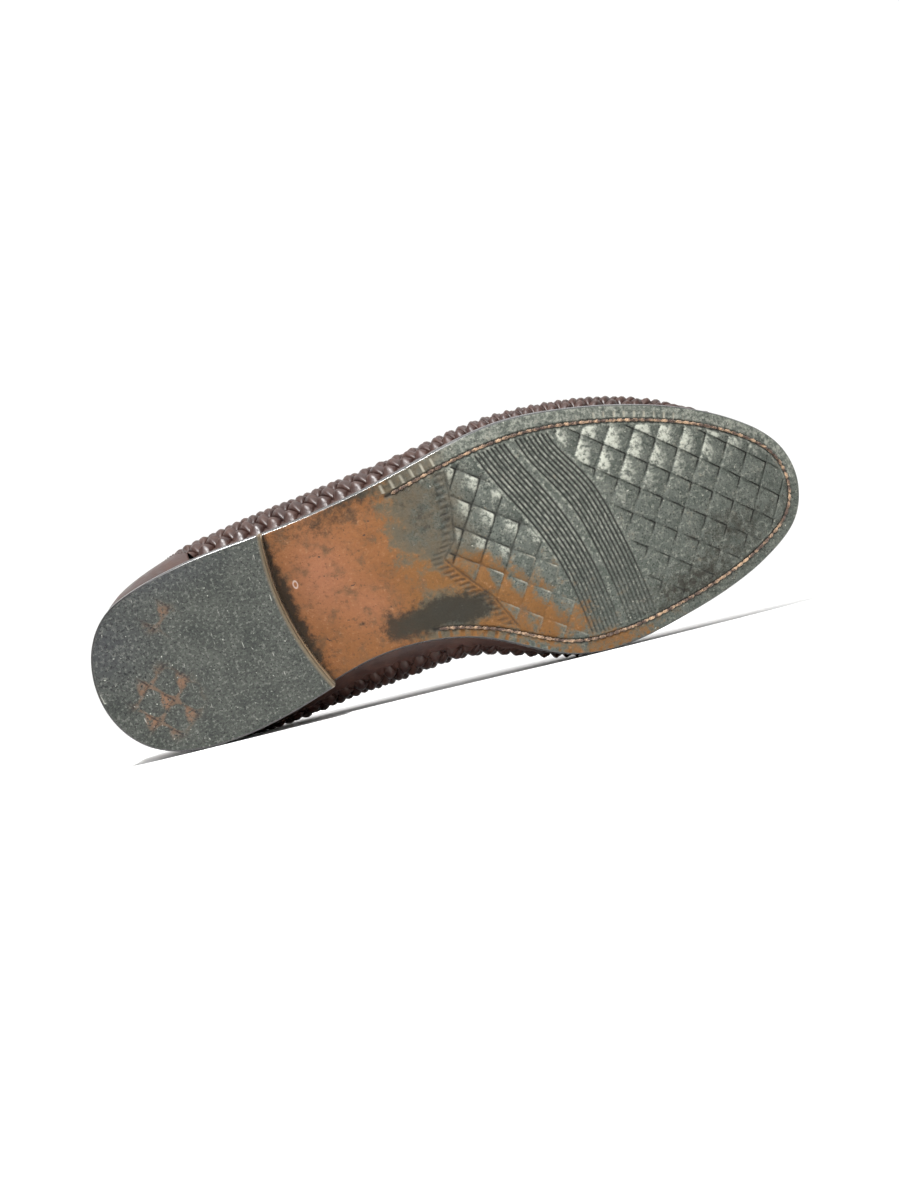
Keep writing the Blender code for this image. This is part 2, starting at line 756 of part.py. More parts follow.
def main():
    for old in list(bpy.data.objects):
        bpy.data.objects.remove(old)
    make_materials()
    inside = FEATHER_INSET + WALL + INSOLE_CLEARANCE
    above = OUTSOLE_THICKNESS + GAP
    board = above + WELT_THICKNESS + GAP + INSOLE_PROUD
    outsole_levels = [
        # inset, height
        (LOWER_EDGE_ROUND, 0.0),
        (0.0, LOWER_EDGE_ROUND),
        (0.0, OUTSOLE_THICKNESS - UPPER_EDGE_ROUND),
        (UPPER_EDGE_ROUND, OUTSOLE_THICKNESS),
    ]
    lift_levels = [
        # inset, height
        (LIFT_EDGE_ROUND, 0.0),
        (LIFT_INSET, LIFT_EDGE_ROUND),
        (LIFT_INSET, LIFT_HEIGHT),
    ]
    base_levels = [(BASE_INSET, LIFT_HEIGHT + GAP), (BASE_INSET, HEEL_HEIGHT)]
    wall = Wall()
    pieces = [
        make_plate("outsole", outsole_levels, "sole_leather"),
        make_plate("insole", [(inside, above), (inside, board)], "insole_tan"),
        make_welt(),
        make_heel_layer("heel_lift", lift_levels, "heel_rubber"),
        make_heel_layer("heel_base", base_levels, "heel_black"),
        make_upper(wall),
        make_binding(wall),
        make_kiltie(wall),
    ]
    pieces += make_overlays(wall)
    lay_down(pieces)
    bpy.context.view_layer.update()


main()
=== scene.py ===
"""Looks of a right kiltie loafer with a woven upper that lies on its medial side.

Shapes are worked out in the shoe's own frame, in millimetres: x runs forward from the back
of the heel, y towards the medial side and z up from the ground under the sole. Its sides
are numbered 0 for lateral and 1 for medial. A station runs from 0 at the back of the heel
to 1 at the tip of the toe, along either side.
"""
import json
import math

import bmesh
import bpy
import numpy as np
from mathutils import Matrix, Vector
from mathutils.bvhtree import BVHTree
from mathutils.kdtree import KDTree


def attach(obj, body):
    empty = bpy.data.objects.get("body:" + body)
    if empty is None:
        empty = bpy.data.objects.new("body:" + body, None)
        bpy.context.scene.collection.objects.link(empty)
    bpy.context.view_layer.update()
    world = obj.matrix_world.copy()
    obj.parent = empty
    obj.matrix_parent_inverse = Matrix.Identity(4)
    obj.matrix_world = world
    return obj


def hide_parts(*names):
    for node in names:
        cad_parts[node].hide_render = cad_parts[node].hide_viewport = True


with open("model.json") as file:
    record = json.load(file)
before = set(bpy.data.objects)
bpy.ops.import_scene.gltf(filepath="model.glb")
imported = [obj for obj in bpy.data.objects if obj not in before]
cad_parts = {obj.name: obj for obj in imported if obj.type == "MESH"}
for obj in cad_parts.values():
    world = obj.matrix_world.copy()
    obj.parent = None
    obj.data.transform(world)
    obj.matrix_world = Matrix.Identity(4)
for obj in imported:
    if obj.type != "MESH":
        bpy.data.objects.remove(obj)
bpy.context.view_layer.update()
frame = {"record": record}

MM = 0.001
LATERAL, MEDIAL = 0, 1
SIDES = (LATERAL, MEDIAL)
SIGNS = (-1, 1)
SEED = 7
WELD, SLIVER = 2e-6, 1e-7

# Where the two mounts of the tread lie in the shoe's own frame
HEEL_MOUNT_X = 40
MOUNT_Y = -5

# Sole
LENGTH = 307
HEEL_HEIGHT = 16
LIFT_HEIGHT = 5.7
STACK_LINES = (8.4, 11, 13.6)
STACK_LINE_HALF = 0.35
OUTSOLE_THICKNESS = 4.6
WELT_THICKNESS = 2.6
NOTCH_PITCH = 2.4
NOTCH_DEPTH = 0.42
INSOLE_PROUD = 1.8
TOE_SPRING = 8
TREAD_BACK_X = 200
TREAD_FRONT_X = 240
WAIST_BACK_X = 70
GAP = 0.3
SOLE_PLAN = [
    # x, lateral y, medial y
    (0, -5, -5), (12, -32.3, 22), (30, -39.4, 29.3), (55, -43.1, 29.5), (80, -44.2, 25),
    (105, -46.2, 19.6), (130, -49.7, 19.8), (155, -54.4, 27.3), (180, -57.7, 41.9), (205, -55.9, 47.2),
    (235, -49.5, 44.2), (265, -38.8, 37.8), (288, -26, 29.2), (300, -15.6, 21), (LENGTH, 3, 3),
]
BREAST_X = (77.3, 86.5)
BREAST_HOLLOW = 5
BREAST_LEAN = 1.6

# Upper
WALL = 1.6
FEATHER_INSET = 2.2
FOOT_ARM = 0.58
RIDGE_ARM = 0.56
THROAT_FOOT_X = 150
THROAT_X = 140
TOPLINE = [
    # x, lateral z, medial z
    (0, 82.5, 82.5), (20, 79, 80), (45, 74, 76), (75, 71.5, 74), (105, 74, 76), (125, 79, 80),
    (THROAT_X, 86, 86),
]
SPINE = [
    # x, y, z
    (25, -6, 103), (60, -7.5, 101), (100, -8.8, 96.5), (125, -8.8, 91), (THROAT_X, -8, 86),
    (160, -5.5, 78), (180, -3.2, 70), (205, -1, 61), (235, 0.8, 52.5), (255, 1.8, 47.5), (268, 2.4, 44),
]
FULLNESS = [
    # x, lateral, medial
    (0, 4, 4), (25, 6.5, 6.5), (50, 8.8, 10), (80, 11, 15), (105, 11.2, 19), (130, 9.6, 17.5),
    (155, 7.2, 11), (180, 6.5, 5), (205, 7.4, 3.5), (240, 8, 3.5), (275, 5, 3.5), (LENGTH, 3, 3),
]
BALL_CREASES = [
    # x at the lateral side, slant towards the toe across the shoe, width, depth
    (196, 0.16, 4.5, 0.75), (206.5, 0.2, 4, 0.9), (216, 0.26, 4.5, 0.6),
]
QUARTER_CREASES = [
    # x at half height, lean forwards with height, width, depth
    (62, 0.35, 6, 0.5), (98, -0.2, 7, 0.55),
]

# Plain leather overlays
OVERLAY_GAP = 0.5
OVERLAY_THICKNESS = 1.2
OVERLAY_FOOT = 1.4
COUNTER_HEIGHT = [
    # x, height
    (0, 50), (20, 47), (34, 36), (48, 15),
]
BAND_HEIGHT = [
    # x, height
    (48, 14.5), (70, 12), (120, 12), (165, 9), (205, 5),
]
LATERAL_BAND_HEIGHT = 3.6
COUNTER_FRONT_X = 48
COUNTER_SEAM_INSETS = (2, 4.2)
BAND_FRONT_X = 205
TOOTH_DEPTH = 2.2

# Weave: columns along each side, rows of strips, and how the strips lie
COLUMNS = 96
THROAT_COLUMN = 46
ROW = 7
LATERAL_ROWS = 13.9
LATERAL_FIT_STARTS = (4, 14)
LATERAL_FIT_ENDS = (76, 88)
STRIP_STEPS = 7
STRIP_FILL = 0.86
STRIP_MIDDLE = 0.5
STRIP_SWING = 1.3
STRIP_DOME = 1.05
STRIP_LIP = 1.3
STRIP_LOWEST = -1
STRIP_HELD = 0.24
TUCK = 6

# Collar bead and fringed flap
BINDING_HALF_WIDTH = 1.8
BINDING_HALF_HEIGHT = 1.4
KILTIE_BACK_X = 144
KILTIE_YOKE = 32
KILTIE_FRINGE = 28
KILTIE_LENGTH = KILTIE_YOKE + KILTIE_FRINGE
KILTIE_BACK_HALF_WIDTH = 23
KILTIE_FRONT_HALF_WIDTH = 31
KILTIE_STRIPS = 9
KILTIE_SEAM_INSET = 2.6
KILTIE_STITCH = 3.4
KILTIE_STITCH_RADIUS = 0.45
KILTIE_SLIT = 0.22
KILTIE_THICKNESS = 1.4
KILTIE_CLEARANCE = 0.6
KILTIE_TIP_LIFT = 2.4

# Tread: embossed scales, two bands of grooves, the border line and the stitched channel
SCALE_ACROSS = (8.2, 6.7)
SCALE_ALONG = (-6.3, 8.9)
SCALE_CUT = 0.046
TOE_SCALE_ORIGIN = (239.5, -22.5)
REAR_SCALE_ORIGIN = (163, -29)
HEEL_SCALE_ORIGIN = (26.8, 7)
HEEL_SCALE_ACROSS = (7, 8.2)
HEEL_SCALE_ALONG = (-8, 6)
GROOVES = [
    # y, x of the first band's back line, x of the second band's back line
    (-48, 169.6, 187.6), (-40, 172.5, 190.3), (-20, 181.5, 200.5), (0, 189, 206.3), (20, 193, 209.7),
    (40, 194.8, 211.5),
]
GROOVE_COUNT = 8
GROOVE_PITCH = 1.75
GROOVE_HALF = 0.42
GROOVE_DEPTH = 0.55
BORDER_LINE = [
    # y, x
    (-47, 156.2), (-30, 154.5), (-17, 151.5), (-11, 145.5), (-4, 150), (10, 160), (27, 167),
]
RIB_PITCH = 2.7
STITCH_INSET = [
    # x, lateral, medial
    (130, 7, 4.8), (150, 6.8, 4.5), (180, 7.5, 5.8), (205, 6.8, 6.8), (240, 6.8, 6.1), (280, 6.2, 6),
    (LENGTH, 5.9, 5.9),
]
STITCH_START_X = (130.5, 132.5)
THREAD_STITCH = 3.3
THREAD_TWIST = 2.3
THREAD_STEP = 0.28
THREAD_DIP = 0.9
THREAD_OFFSET = 0.34
OUTSOLE_SPLIT_X = 143
CHANNEL_HALF = 0.95
CHANNEL_DEPTH = 0.7
TICK_PITCH = 4.5
TICK_HALF = 0.75
TICK_DEPTH = 0.35

# Worn places of the sole and heel, and dark patches partly painted shade: x, y, reach along x, reach along
# y, amount
BARE_PATCHES = [
    (146, -5, 17, 8, 1.2), (158, 4, 12, 9, 0.9), (172, 18, 15, 17, 1.15), (186, 31, 15, 9, 0.95),
    (204, 43.5, 26, 4.5, 1.05), (150, 21, 16, 4, 0.9), (131, -27, 9, 14, -0.25),
    (118, -47, 12, 2.5, -0.9), (136, 10, 17, 6, -0.7), (121, 12, 8, 6, -0.3),
]
# dark patches: dirt, except the three at the toe (x 232 to 270), which darken the medial toe as painted
# shade
DIRT_AND_SHADE_PATCHES = [
    (138, 9, 16, 7, 1), (150, 12.5, 9, 5.5, 0.9), (122, 12, 10, 6, 0.7), (116.5, 7, 3, 8, 0.35),
    (142, -31, 8, 13, 0.35), (152, -30, 4, 16, 0.3), (118, -47.5, 14, 3, 0.8), (104, -41, 26, 6, 0.46),
    (106, 4, 2, 1.2, 0.6), (270, 14, 24, 12, 0.46), (252, 30, 24, 9, 0.44), (232, 34, 18, 9, 0.34),
    (20, 30, 30, 10, 0.3),
]
PINK_PATCHES = [
    (96, -20, 13, 17, 1), (112, -2, 9, 9, 0.6),
]
SCUFF_PATCHES = [
    (24, 7, 11, 12, 1.3), (31.5, -25, 8, 8, 0.6),
]
RIM_PATCHES = [
    (4, -22, 20, 16, 1), (34, -40, 26, 7, 0.9),
]

# Leathers of the upper and inside: name, dark and light colour, roughness, grain in mm, coat
LEATHERS = [
    ("strip_brown", (0.021, 0.0075, 0.0055), (0.042, 0.0165, 0.0105), 0.42, 0.5, 0.06),
    ("plain_brown", (0.021, 0.0078, 0.0056), (0.04, 0.016, 0.0105), 0.42, 0.9, 0.06),
    # near-black backing paints the shade seen in the weave's gaps
    ("shaded_backing_brown", (0.007, 0.0035, 0.003), (0.013, 0.0065, 0.005), 0.7, 0.8, 0),
    ("lining_tan", (0.215, 0.112, 0.058), (0.27, 0.145, 0.078), 0.55, 0.7, 0),
    ("sock_tan", (0.24, 0.118, 0.056), (0.31, 0.16, 0.08), 0.58, 0.8, 0),
]
SOLE_THREAD = (0.055, 0.026, 0.014), (0.36, 0.235, 0.14)
SEAM_THREAD = (0.03, 0.015, 0.012), (0.06, 0.032, 0.024)

# Camera of the photograph, in the shoe's own frame
PHOTO_WIDTH, PHOTO_HEIGHT = 900, 1200
CAMERA_PLACE = (76.85, -36.72, -397.54)
CAMERA_RIGHT = (0.934, 0.3064, -0.1838)
CAMERA_DOWN = (-0.3198, 0.9463, -0.0472)
FOCAL_PIXELS = 1000
SENSOR = 36
NEAREST = 0.001

# Pale round floor, in metres
FLOOR_RADIUS = 2.4
COVE = 0.9
WALL_TOP = 3.2


def ease(value, low=0, high=1):
    """Smooth rise from 0 to 1 between two values."""
    share = np.clip((np.asarray(value, float) - low) / (high - low), 0, 1)
    return share * share * (3 - 2 * share)


def thin(distance, half, peak=1.3):
    """1 on a line, falling to 0 a little beyond half its width."""
    return np.clip(peak - np.abs(distance) / half, 0, 1)


def unit(vectors):
    """Vectors of length 1 with the same directions."""
    return vectors / np.linalg.norm(vectors, axis=-1, keepdims=True)


def between(first, second, shares):
    """Rows of points at shares of the way from one line to another."""
    return first[:, None] * (1 - shares[:, None]) + second[:, None] * shares[:, None]


def smooth_curve(knots, values):
    """Natural cubic spline through rows of values, one row at each knot."""
    knots = np.asarray(knots, float)
    values = np.asarray(values, float)
    step = np.diff(knots)
    count = len(knots)
    system = np.eye(count)
    right = np.zeros_like(values)
    for i in range(1, count - 1):
        system[i, i - 1:i + 2] = step[i - 1], 2 * (step[i - 1] + step[i]), step[i]
        rise_after = (values[i + 1] - values[i]) / step[i]
        rise_before = (values[i] - values[i - 1]) / step[i - 1]
        right[i] = 6 * (rise_after - rise_before)
    bend = np.linalg.solve(system, right)

    def at(where):
        where = np.asarray(where, float)
        k = np.clip(np.searchsorted(knots, where) - 1, 0, count - 2)
        h = step[k][..., None]
        a = (knots[k + 1] - where)[..., None] / h
        b = (where - knots[k])[..., None] / h
        curved = (a ** 3 - a) * bend[k] + (b ** 3 - b) * bend[k + 1]
        return a * values[k] + b * values[k + 1] + curved * h * h / 6

    return at


def curve_of(table, knots=np.asarray):
    """Smooth curve through the second and third columns of a table."""
    columns = np.array(table, float)
    return smooth_curve(knots(columns[:, 0]), columns[:, 1:])


def read_table(table, where, index=1):
    """Straight lines between the rows of a table."""
    columns = np.array(table, float)
    return np.interp(where, columns[:, 0], columns[:, index])


def station_of(x):
    return np.arccos(np.clip(1 - 2 * np.asarray(x, float) / LENGTH, -1, 1)) / math.pi


PLAN = curve_of(SOLE_PLAN, station_of)
SWELL = curve_of(FULLNESS)
RIDGE = curve_of(SPINE)
COLLAR = curve_of(TOPLINE)
GROOVE_LINES = curve_of(GROOVES)


def edge_point(side, station, inset=0):
    """Plan points on the outsole's edge, moved inwards, and the outward direction there."""
    station = np.asarray(station, float)
    nudge = 1e-4

    def raw(s):
        return np.stack([LENGTH / 2 * (1 - np.cos(math.pi * s)), PLAN(s)[..., side]], axis=-1)

    along = raw(np.minimum(station + nudge, 1)) - raw(np.maximum(station - nudge, 0))
    along[..., 0] = np.where((station <= 0) | (station >= 1), 0, along[..., 0])
    along = unit(along)
    outward = SIGNS[side] * np.stack([-along[..., 1], along[..., 0]], axis=-1)
    return raw(station) - np.asarray(inset, float)[..., None] * outward, outward


def underside(x):
    """Height of the outsole's lower face: level seat, waist, flat tread and toe spring."""
    x = np.asarray(x, float)
    waist = HEEL_HEIGHT * (1 - ease(x, WAIST_BACK_X, TREAD_BACK_X))
    toe = TOE_SPRING * (np.maximum(x - TREAD_FRONT_X, 0) / (LENGTH - TREAD_FRONT_X)) ** 2
    return waist + toe


def run_along(points):
    """Distance along a line of points up to each."""
    return np.concatenate([[0], np.cumsum(np.linalg.norm(np.diff(points, axis=0), axis=1))])


def follow(line, run, at):
    """Points at distances along a line of points."""
    return np.stack([np.interp(at, run, column) for column in line.T], axis=1)


FINE_STATIONS = np.linspace(0, 1, 2001)
FINE_SIDE_RUNS = [run_along(edge_point(side, FINE_STATIONS)[0]) for side in SIDES]
FINE_RUN = (FINE_SIDE_RUNS[LATERAL] + FINE_SIDE_RUNS[MEDIAL]) / 2


def spaced_stations(spacing):
    """Stations along the sole's edge, spaced by a table of x and millimetres."""
    x = LENGTH / 2 * (1 - np.cos(math.pi * FINE_STATIONS))
    weight = np.diff(FINE_RUN) / read_table(spacing, (x[1:] + x[:-1]) / 2)
    total = np.concatenate([[0], np.cumsum(weight)])
    count = int(round(total[-1]))
    return np.interp(np.linspace(0, total[-1], count + 1), total, FINE_STATIONS)


def wall_point(side, station, share):
    """Points of the last's surface: share runs from 0 at the welt to 1 at the ridge."""
    plan, outward = edge_point(side, station, FEATHER_INSET)
    x = plan[..., 0]
    low = OUTSOLE_THICKNESS + WELT_THICKNESS + 2 * GAP
    foot = np.stack([x, plan[..., 1], underside(x) + low], axis=-1)
    foot_x = np.maximum(x - FEATHER_INSET, 0)
    toe_x = LENGTH - 2 * FEATHER_INSET
    rear = SPINE[0][0] + (THROAT_X - SPINE[0][0]) * foot_x / THROAT_FOOT_X
    front_share = (foot_x - THROAT_FOOT_X) / (toe_x - THROAT_FOOT_X)
    front = THROAT_X + (SPINE[-1][0] - THROAT_X) * front_share
    ridge_x = np.where(foot_x < THROAT_FOOT_X, rear, front)
    ahead = np.minimum(ridge_x + 1, SPINE[-1][0])
    slope = RIDGE(ahead)[..., 1] - RIDGE(ahead - 1)[..., 1]
    ridge = np.concatenate([ridge_x[..., None], RIDGE(ridge_x)], axis=-1)
    foot_arm = foot.copy()
    foot_arm[..., 2] += (ridge[..., 2] - foot[..., 2]) * FOOT_ARM
    ridge_arm = ridge + (foot - ridge) * np.array([RIDGE_ARM, RIDGE_ARM, 0])
    ridge_arm[..., 2] += slope * (ridge_arm[..., 0] - ridge[..., 0])
    t = np.asarray(share, float)[..., None]
    rest = 1 - t
    curve = rest ** 3 * foot + 3 * rest ** 2 * t * foot_arm + 3 * rest * t ** 2 * ridge_arm + t ** 3 * ridge
    crest = 0.25 * 0.75 ** 3
    swell = SWELL(np.clip(x, 0, LENGTH))[..., side]
    curve[..., :2] += (t * rest ** 3 / crest) * swell[..., None] * outward
    return curve


class Chart:
    """The last's surface by column and by distance from its ridge, lateral distances negative.

    On a draped chart the columns in front of the throat leave the ridge square, and further on
    the front of the toe, and run straight over the surface, so that the weave keeps its size.
    """

    FINE = 4
    SAMPLES = 140
    REACH = 135
    STEP = 0.5
    WRAP = 8
    STRIDE = 1
    BLEND_COLUMNS = 28
    TOE_TILT = math.radians(50)

    def __init__(self, draped):
        self.k = np.arange(COLUMNS * self.FINE + 1) / self.FINE
        turning = np.interp(station_of(THROAT_FOOT_X + FEATHER_INSET), FINE_STATIONS, FINE_RUN)
        marks = [0, THROAT_COLUMN, COLUMNS]
        self.run = np.interp(self.k, marks, [0, turning, FINE_RUN[-1]])
        halves = [self.columns(side) for side in SIDES]
        if draped:
            halves = [self.drape(side, halves[side]) for side in SIDES]
        self.foot = np.stack([half[:, -1, 0] for half in halves])
        ridge = (halves[0][:, :1] + halves[1][:, :1]) / 2
        signed = np.concatenate([halves[0][:, :0:-1], ridge, halves[1][:, 1:]], axis=1)
        wrapped = np.concatenate([signed[self.WRAP:0:-1, ::-1], signed])
        normals = np.cross(np.gradient(wrapped, axis=0), np.gradient(wrapped, axis=1))
        size = np.linalg.norm(normals, axis=2, keepdims=True)
        normals = normals / np.maximum(size, 1e-9)
        normals[-1] = normals[-2]
        self.length = np.zeros((2, len(self.k)))
        self.top = np.zeros((2, len(self.k)))
        distances = np.arange(0, self.REACH + self.STEP, self.STEP)
        count = len(distances)
        self.points = np.zeros((len(wrapped), 2 * count - 1, 3))
        self.normals = np.zeros_like(self.points)
        middle = self.SAMPLES
        for row in range(len(wrapped)):
            for side, order in ((LATERAL, slice(middle, None, -1)), (MEDIAL, slice(middle, None))):
                line = wrapped[row, order]
                run = run_along(line)
                place = slice(count - 1, None, -1) if side == LATERAL else slice(count - 1, None)
                for target, source in ((self.points, line), (self.normals, normals[row, order])):
                    target[row, place] = follow(source, run, distances)
                if row >= self.WRAP:
                    self.length[side, row - self.WRAP] = run[-1]
                    self.top[side, row - self.WRAP] = self.collar_distance(side, row - self.WRAP, line, run)

    def columns(self, side):
        """Points of each column from the ridge to the welt."""
        station = np.interp(self.run, FINE_RUN, FINE_STATIONS)
        share = np.linspace(1, 0, self.SAMPLES + 1)
        grid = (len(self.k), len(share))
        return wall_point(side, np.broadcast_to(station[:, None], grid), np.broadcast_to(share, grid))

    def drape(self, side, plain):
        """The columns with those in front of the throat drawn again, straight over the surface."""
        front = np.flatnonzero(self.k >= THROAT_COLUMN)
        ground = plain[front[0] - 6 * self.FINE:]
        tree = BVHTree.FromPolygons(ground.reshape(-1, 3).tolist(), grid_quads(*ground.shape[:2]).tolist())
        spine = np.concatenate([plain[front, 0], plain[-1, 1:]])
        run = run_along(spine)
        corner = run[len(front) - 1]
        along = (self.k[front] - THROAT_COLUMN) / (COLUMNS - THROAT_COLUMN) * run[-1]
        starts = follow(spine, run, along)
        tilt = self.TOE_TILT * np.clip((along - corner) / (run[-1] - corner), 0, 1)
        tangents = np.gradient(starts, axis=0)
        keep = ease(self.k[front], THROAT_COLUMN, THROAT_COLUMN + self.BLEND_COLUMNS)
        drawn = plain.copy()
        for column, start, tangent, turn, share in zip(front, starts, tangents, tilt, keep):
            line = self.trace(tree, side, Vector(start), Vector(tangent).normalized(), turn)
            length = run_along(line)
            even = np.linspace(0, length[-1], self.SAMPLES + 1)
            mixed = plain[column] * (1 - share) + follow(line, length, even) * share
            if 0 < share < 1:
                mixed = np.array([tree.find_nearest(Vector(point))[0] for point in mixed])
            drawn[column] = mixed
        return drawn

    def trace(self, tree, side, point, tangent, turn):
        """Straight line over the surface, from a place on the ridge down to the welt."""
        low = OUTSOLE_THICKNESS + WELT_THICKNESS + 2 * GAP
        normal = tree.find_nearest(point)[1]
        sideways = normal.cross(tangent).normalized()
        if (sideways.y < 0) != (side == LATERAL):
            sideways.negate()
        heading = sideways * math.cos(turn) + tangent * math.sin(turn)
        line = [point]
        while len(line) < self.REACH / self.STRIDE:
            found, normal, _, gap = tree.find_nearest(point + heading * self.STRIDE)
            line.append(found)
            if gap > 0.4 * self.STRIDE or found.z - underside(found.x) - low < 0.15:
                break
            heading = (heading - normal * heading.dot(normal)).normalized()
            point = found
        return np.array(line)

    def collar_distance(self, side, row, line, run):
        """Distance from the ridge at which a rear column meets the edge of the opening."""
        if self.k[row] >= THROAT_COLUMN:
            return 0
        over = line[:, 2] - COLLAR(np.clip(line[:, 0], 0, THROAT_X))[:, side]
        return float(np.interp(0, -over, run))

    def at(self, k, distance, lift=0):
        """Points at columns and signed distances, lifted off the surface."""
        a = np.clip((np.asarray(k, float) * self.FINE + self.WRAP), 0, len(self.points) - 1.001)
        middle = (self.points.shape[1] - 1) // 2
        b = np.clip(np.asarray(distance, float) / self.STEP + middle, 0, 2 * middle - 0.001)
        i, j = a.astype(int), b.astype(int)
        fa, fb = (a - i)[..., None], (b - j)[..., None]
        found = []
        for source in (self.points, self.normals):
            low = source[i, j] * (1 - fb) + source[i, j + 1] * fb
            high = source[i + 1, j] * (1 - fb) + source[i + 1, j + 1] * fb
            found.append(low * (1 - fa) + high * fa)
        return found[0] + unit(found[1]) * np.asarray(lift, float)[..., None]

    def read(self, values, side, k):
        return np.interp(np.abs(k), self.k, values[side])

    def from_welt(self, side, k, height, lift=0):
        """Points at heights up the wall from the welt."""
        return self.at(k, SIGNS[side] * (self.read(self.length, side, k) - height), lift)


def shoe_to_world():
    """Matrix of the shoe's own frame, from the two flat spots that its record gives."""
    mounts = {mount["name"]: mount for mount in frame["record"]["mounts"]}
    heel = np.array(mounts["heel_tread"]["pos_m"])
    ball = np.array(mounts["ball_tread"]["pos_m"])
    up = unit(-np.array(mounts["heel_tread"]["axis"]))
    forward = ball - heel
    forward = unit(forward - up * forward.dot(up))
    medial = np.cross(up, forward)
    origin = heel - (forward * HEEL_MOUNT_X + medial * MOUNT_Y) * MM
    turn = np.stack([forward, medial, up], axis=1)
    return turn, origin


TURN, ORIGIN = shoe_to_world()


def grid_quads(rows, columns, close_rows=False, close_columns=False):
    """Quads of a grid of points in rows, as an array of corner numbers."""
    index = np.arange(rows * columns).reshape(rows, columns)
    if close_rows:
        index = np.concatenate([index, index[:1]])
    if close_columns:
        index = np.concatenate([index, index[:, :1]], axis=1)
    corners = [index[:-1, :-1], index[1:, :-1], index[1:, 1:], index[:-1, 1:]]
    return np.stack(corners, axis=-1).reshape(-1, 4)


def add_object(name, data):
    made = bpy.data.objects.new(name, data)
    bpy.context.collection.objects.link(made)
    return made


def clean(mesh, weld, sliver, outward=True):
    """Welds a mesh, takes out its slivers and shades it smooth."""
    body = bmesh.new()
    body.from_mesh(mesh)
    bmesh.ops.remove_doubles(body, verts=body.verts, dist=weld)
    bmesh.ops.dissolve_degenerate(body, dist=sliver, edges=body.edges)
    if outward:
        bmesh.ops.recalc_face_normals(body, faces=body.faces)
    body.to_mesh(mesh)
    body.free()
    mesh.shade_smooth()


def make_piece(name, points, faces, materials, replaces=(), masks=None, kinds=None, outward=True):
    """One piece from points in the shoe's frame, welded, with its masks kept as attributes."""
    points = np.asarray(points, float).reshape(-1, 3)
    mesh = bpy.data.meshes.new(name)
    placed = points @ TURN.T * MM + ORIGIN
    placed[:, 2] = np.maximum(placed[:, 2], 0)
    mesh.from_pydata(placed, [], [list(face) for face in faces])
    shoe = mesh.attributes.new("shoe", "FLOAT_VECTOR", "POINT")
    shoe.data.foreach_set("vector", points.astype(np.float32).ravel())
    for mask, values in (masks or {}).items():
        layer = mesh.attributes.new(mask, "FLOAT", "POINT")
        layer.data.foreach_set("value", np.asarray(values, np.float32).ravel())
    for material in materials:
        mesh.materials.append(material)
    if kinds is not None:
        mesh.polygons.foreach_set("material_index", np.asarray(kinds, np.int32))
    clean(mesh, WELD, SLIVER, outward)
    piece = add_object(name, mesh)
    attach(piece, "root")
    if replaces:
        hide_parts(*replaces)
    return piece


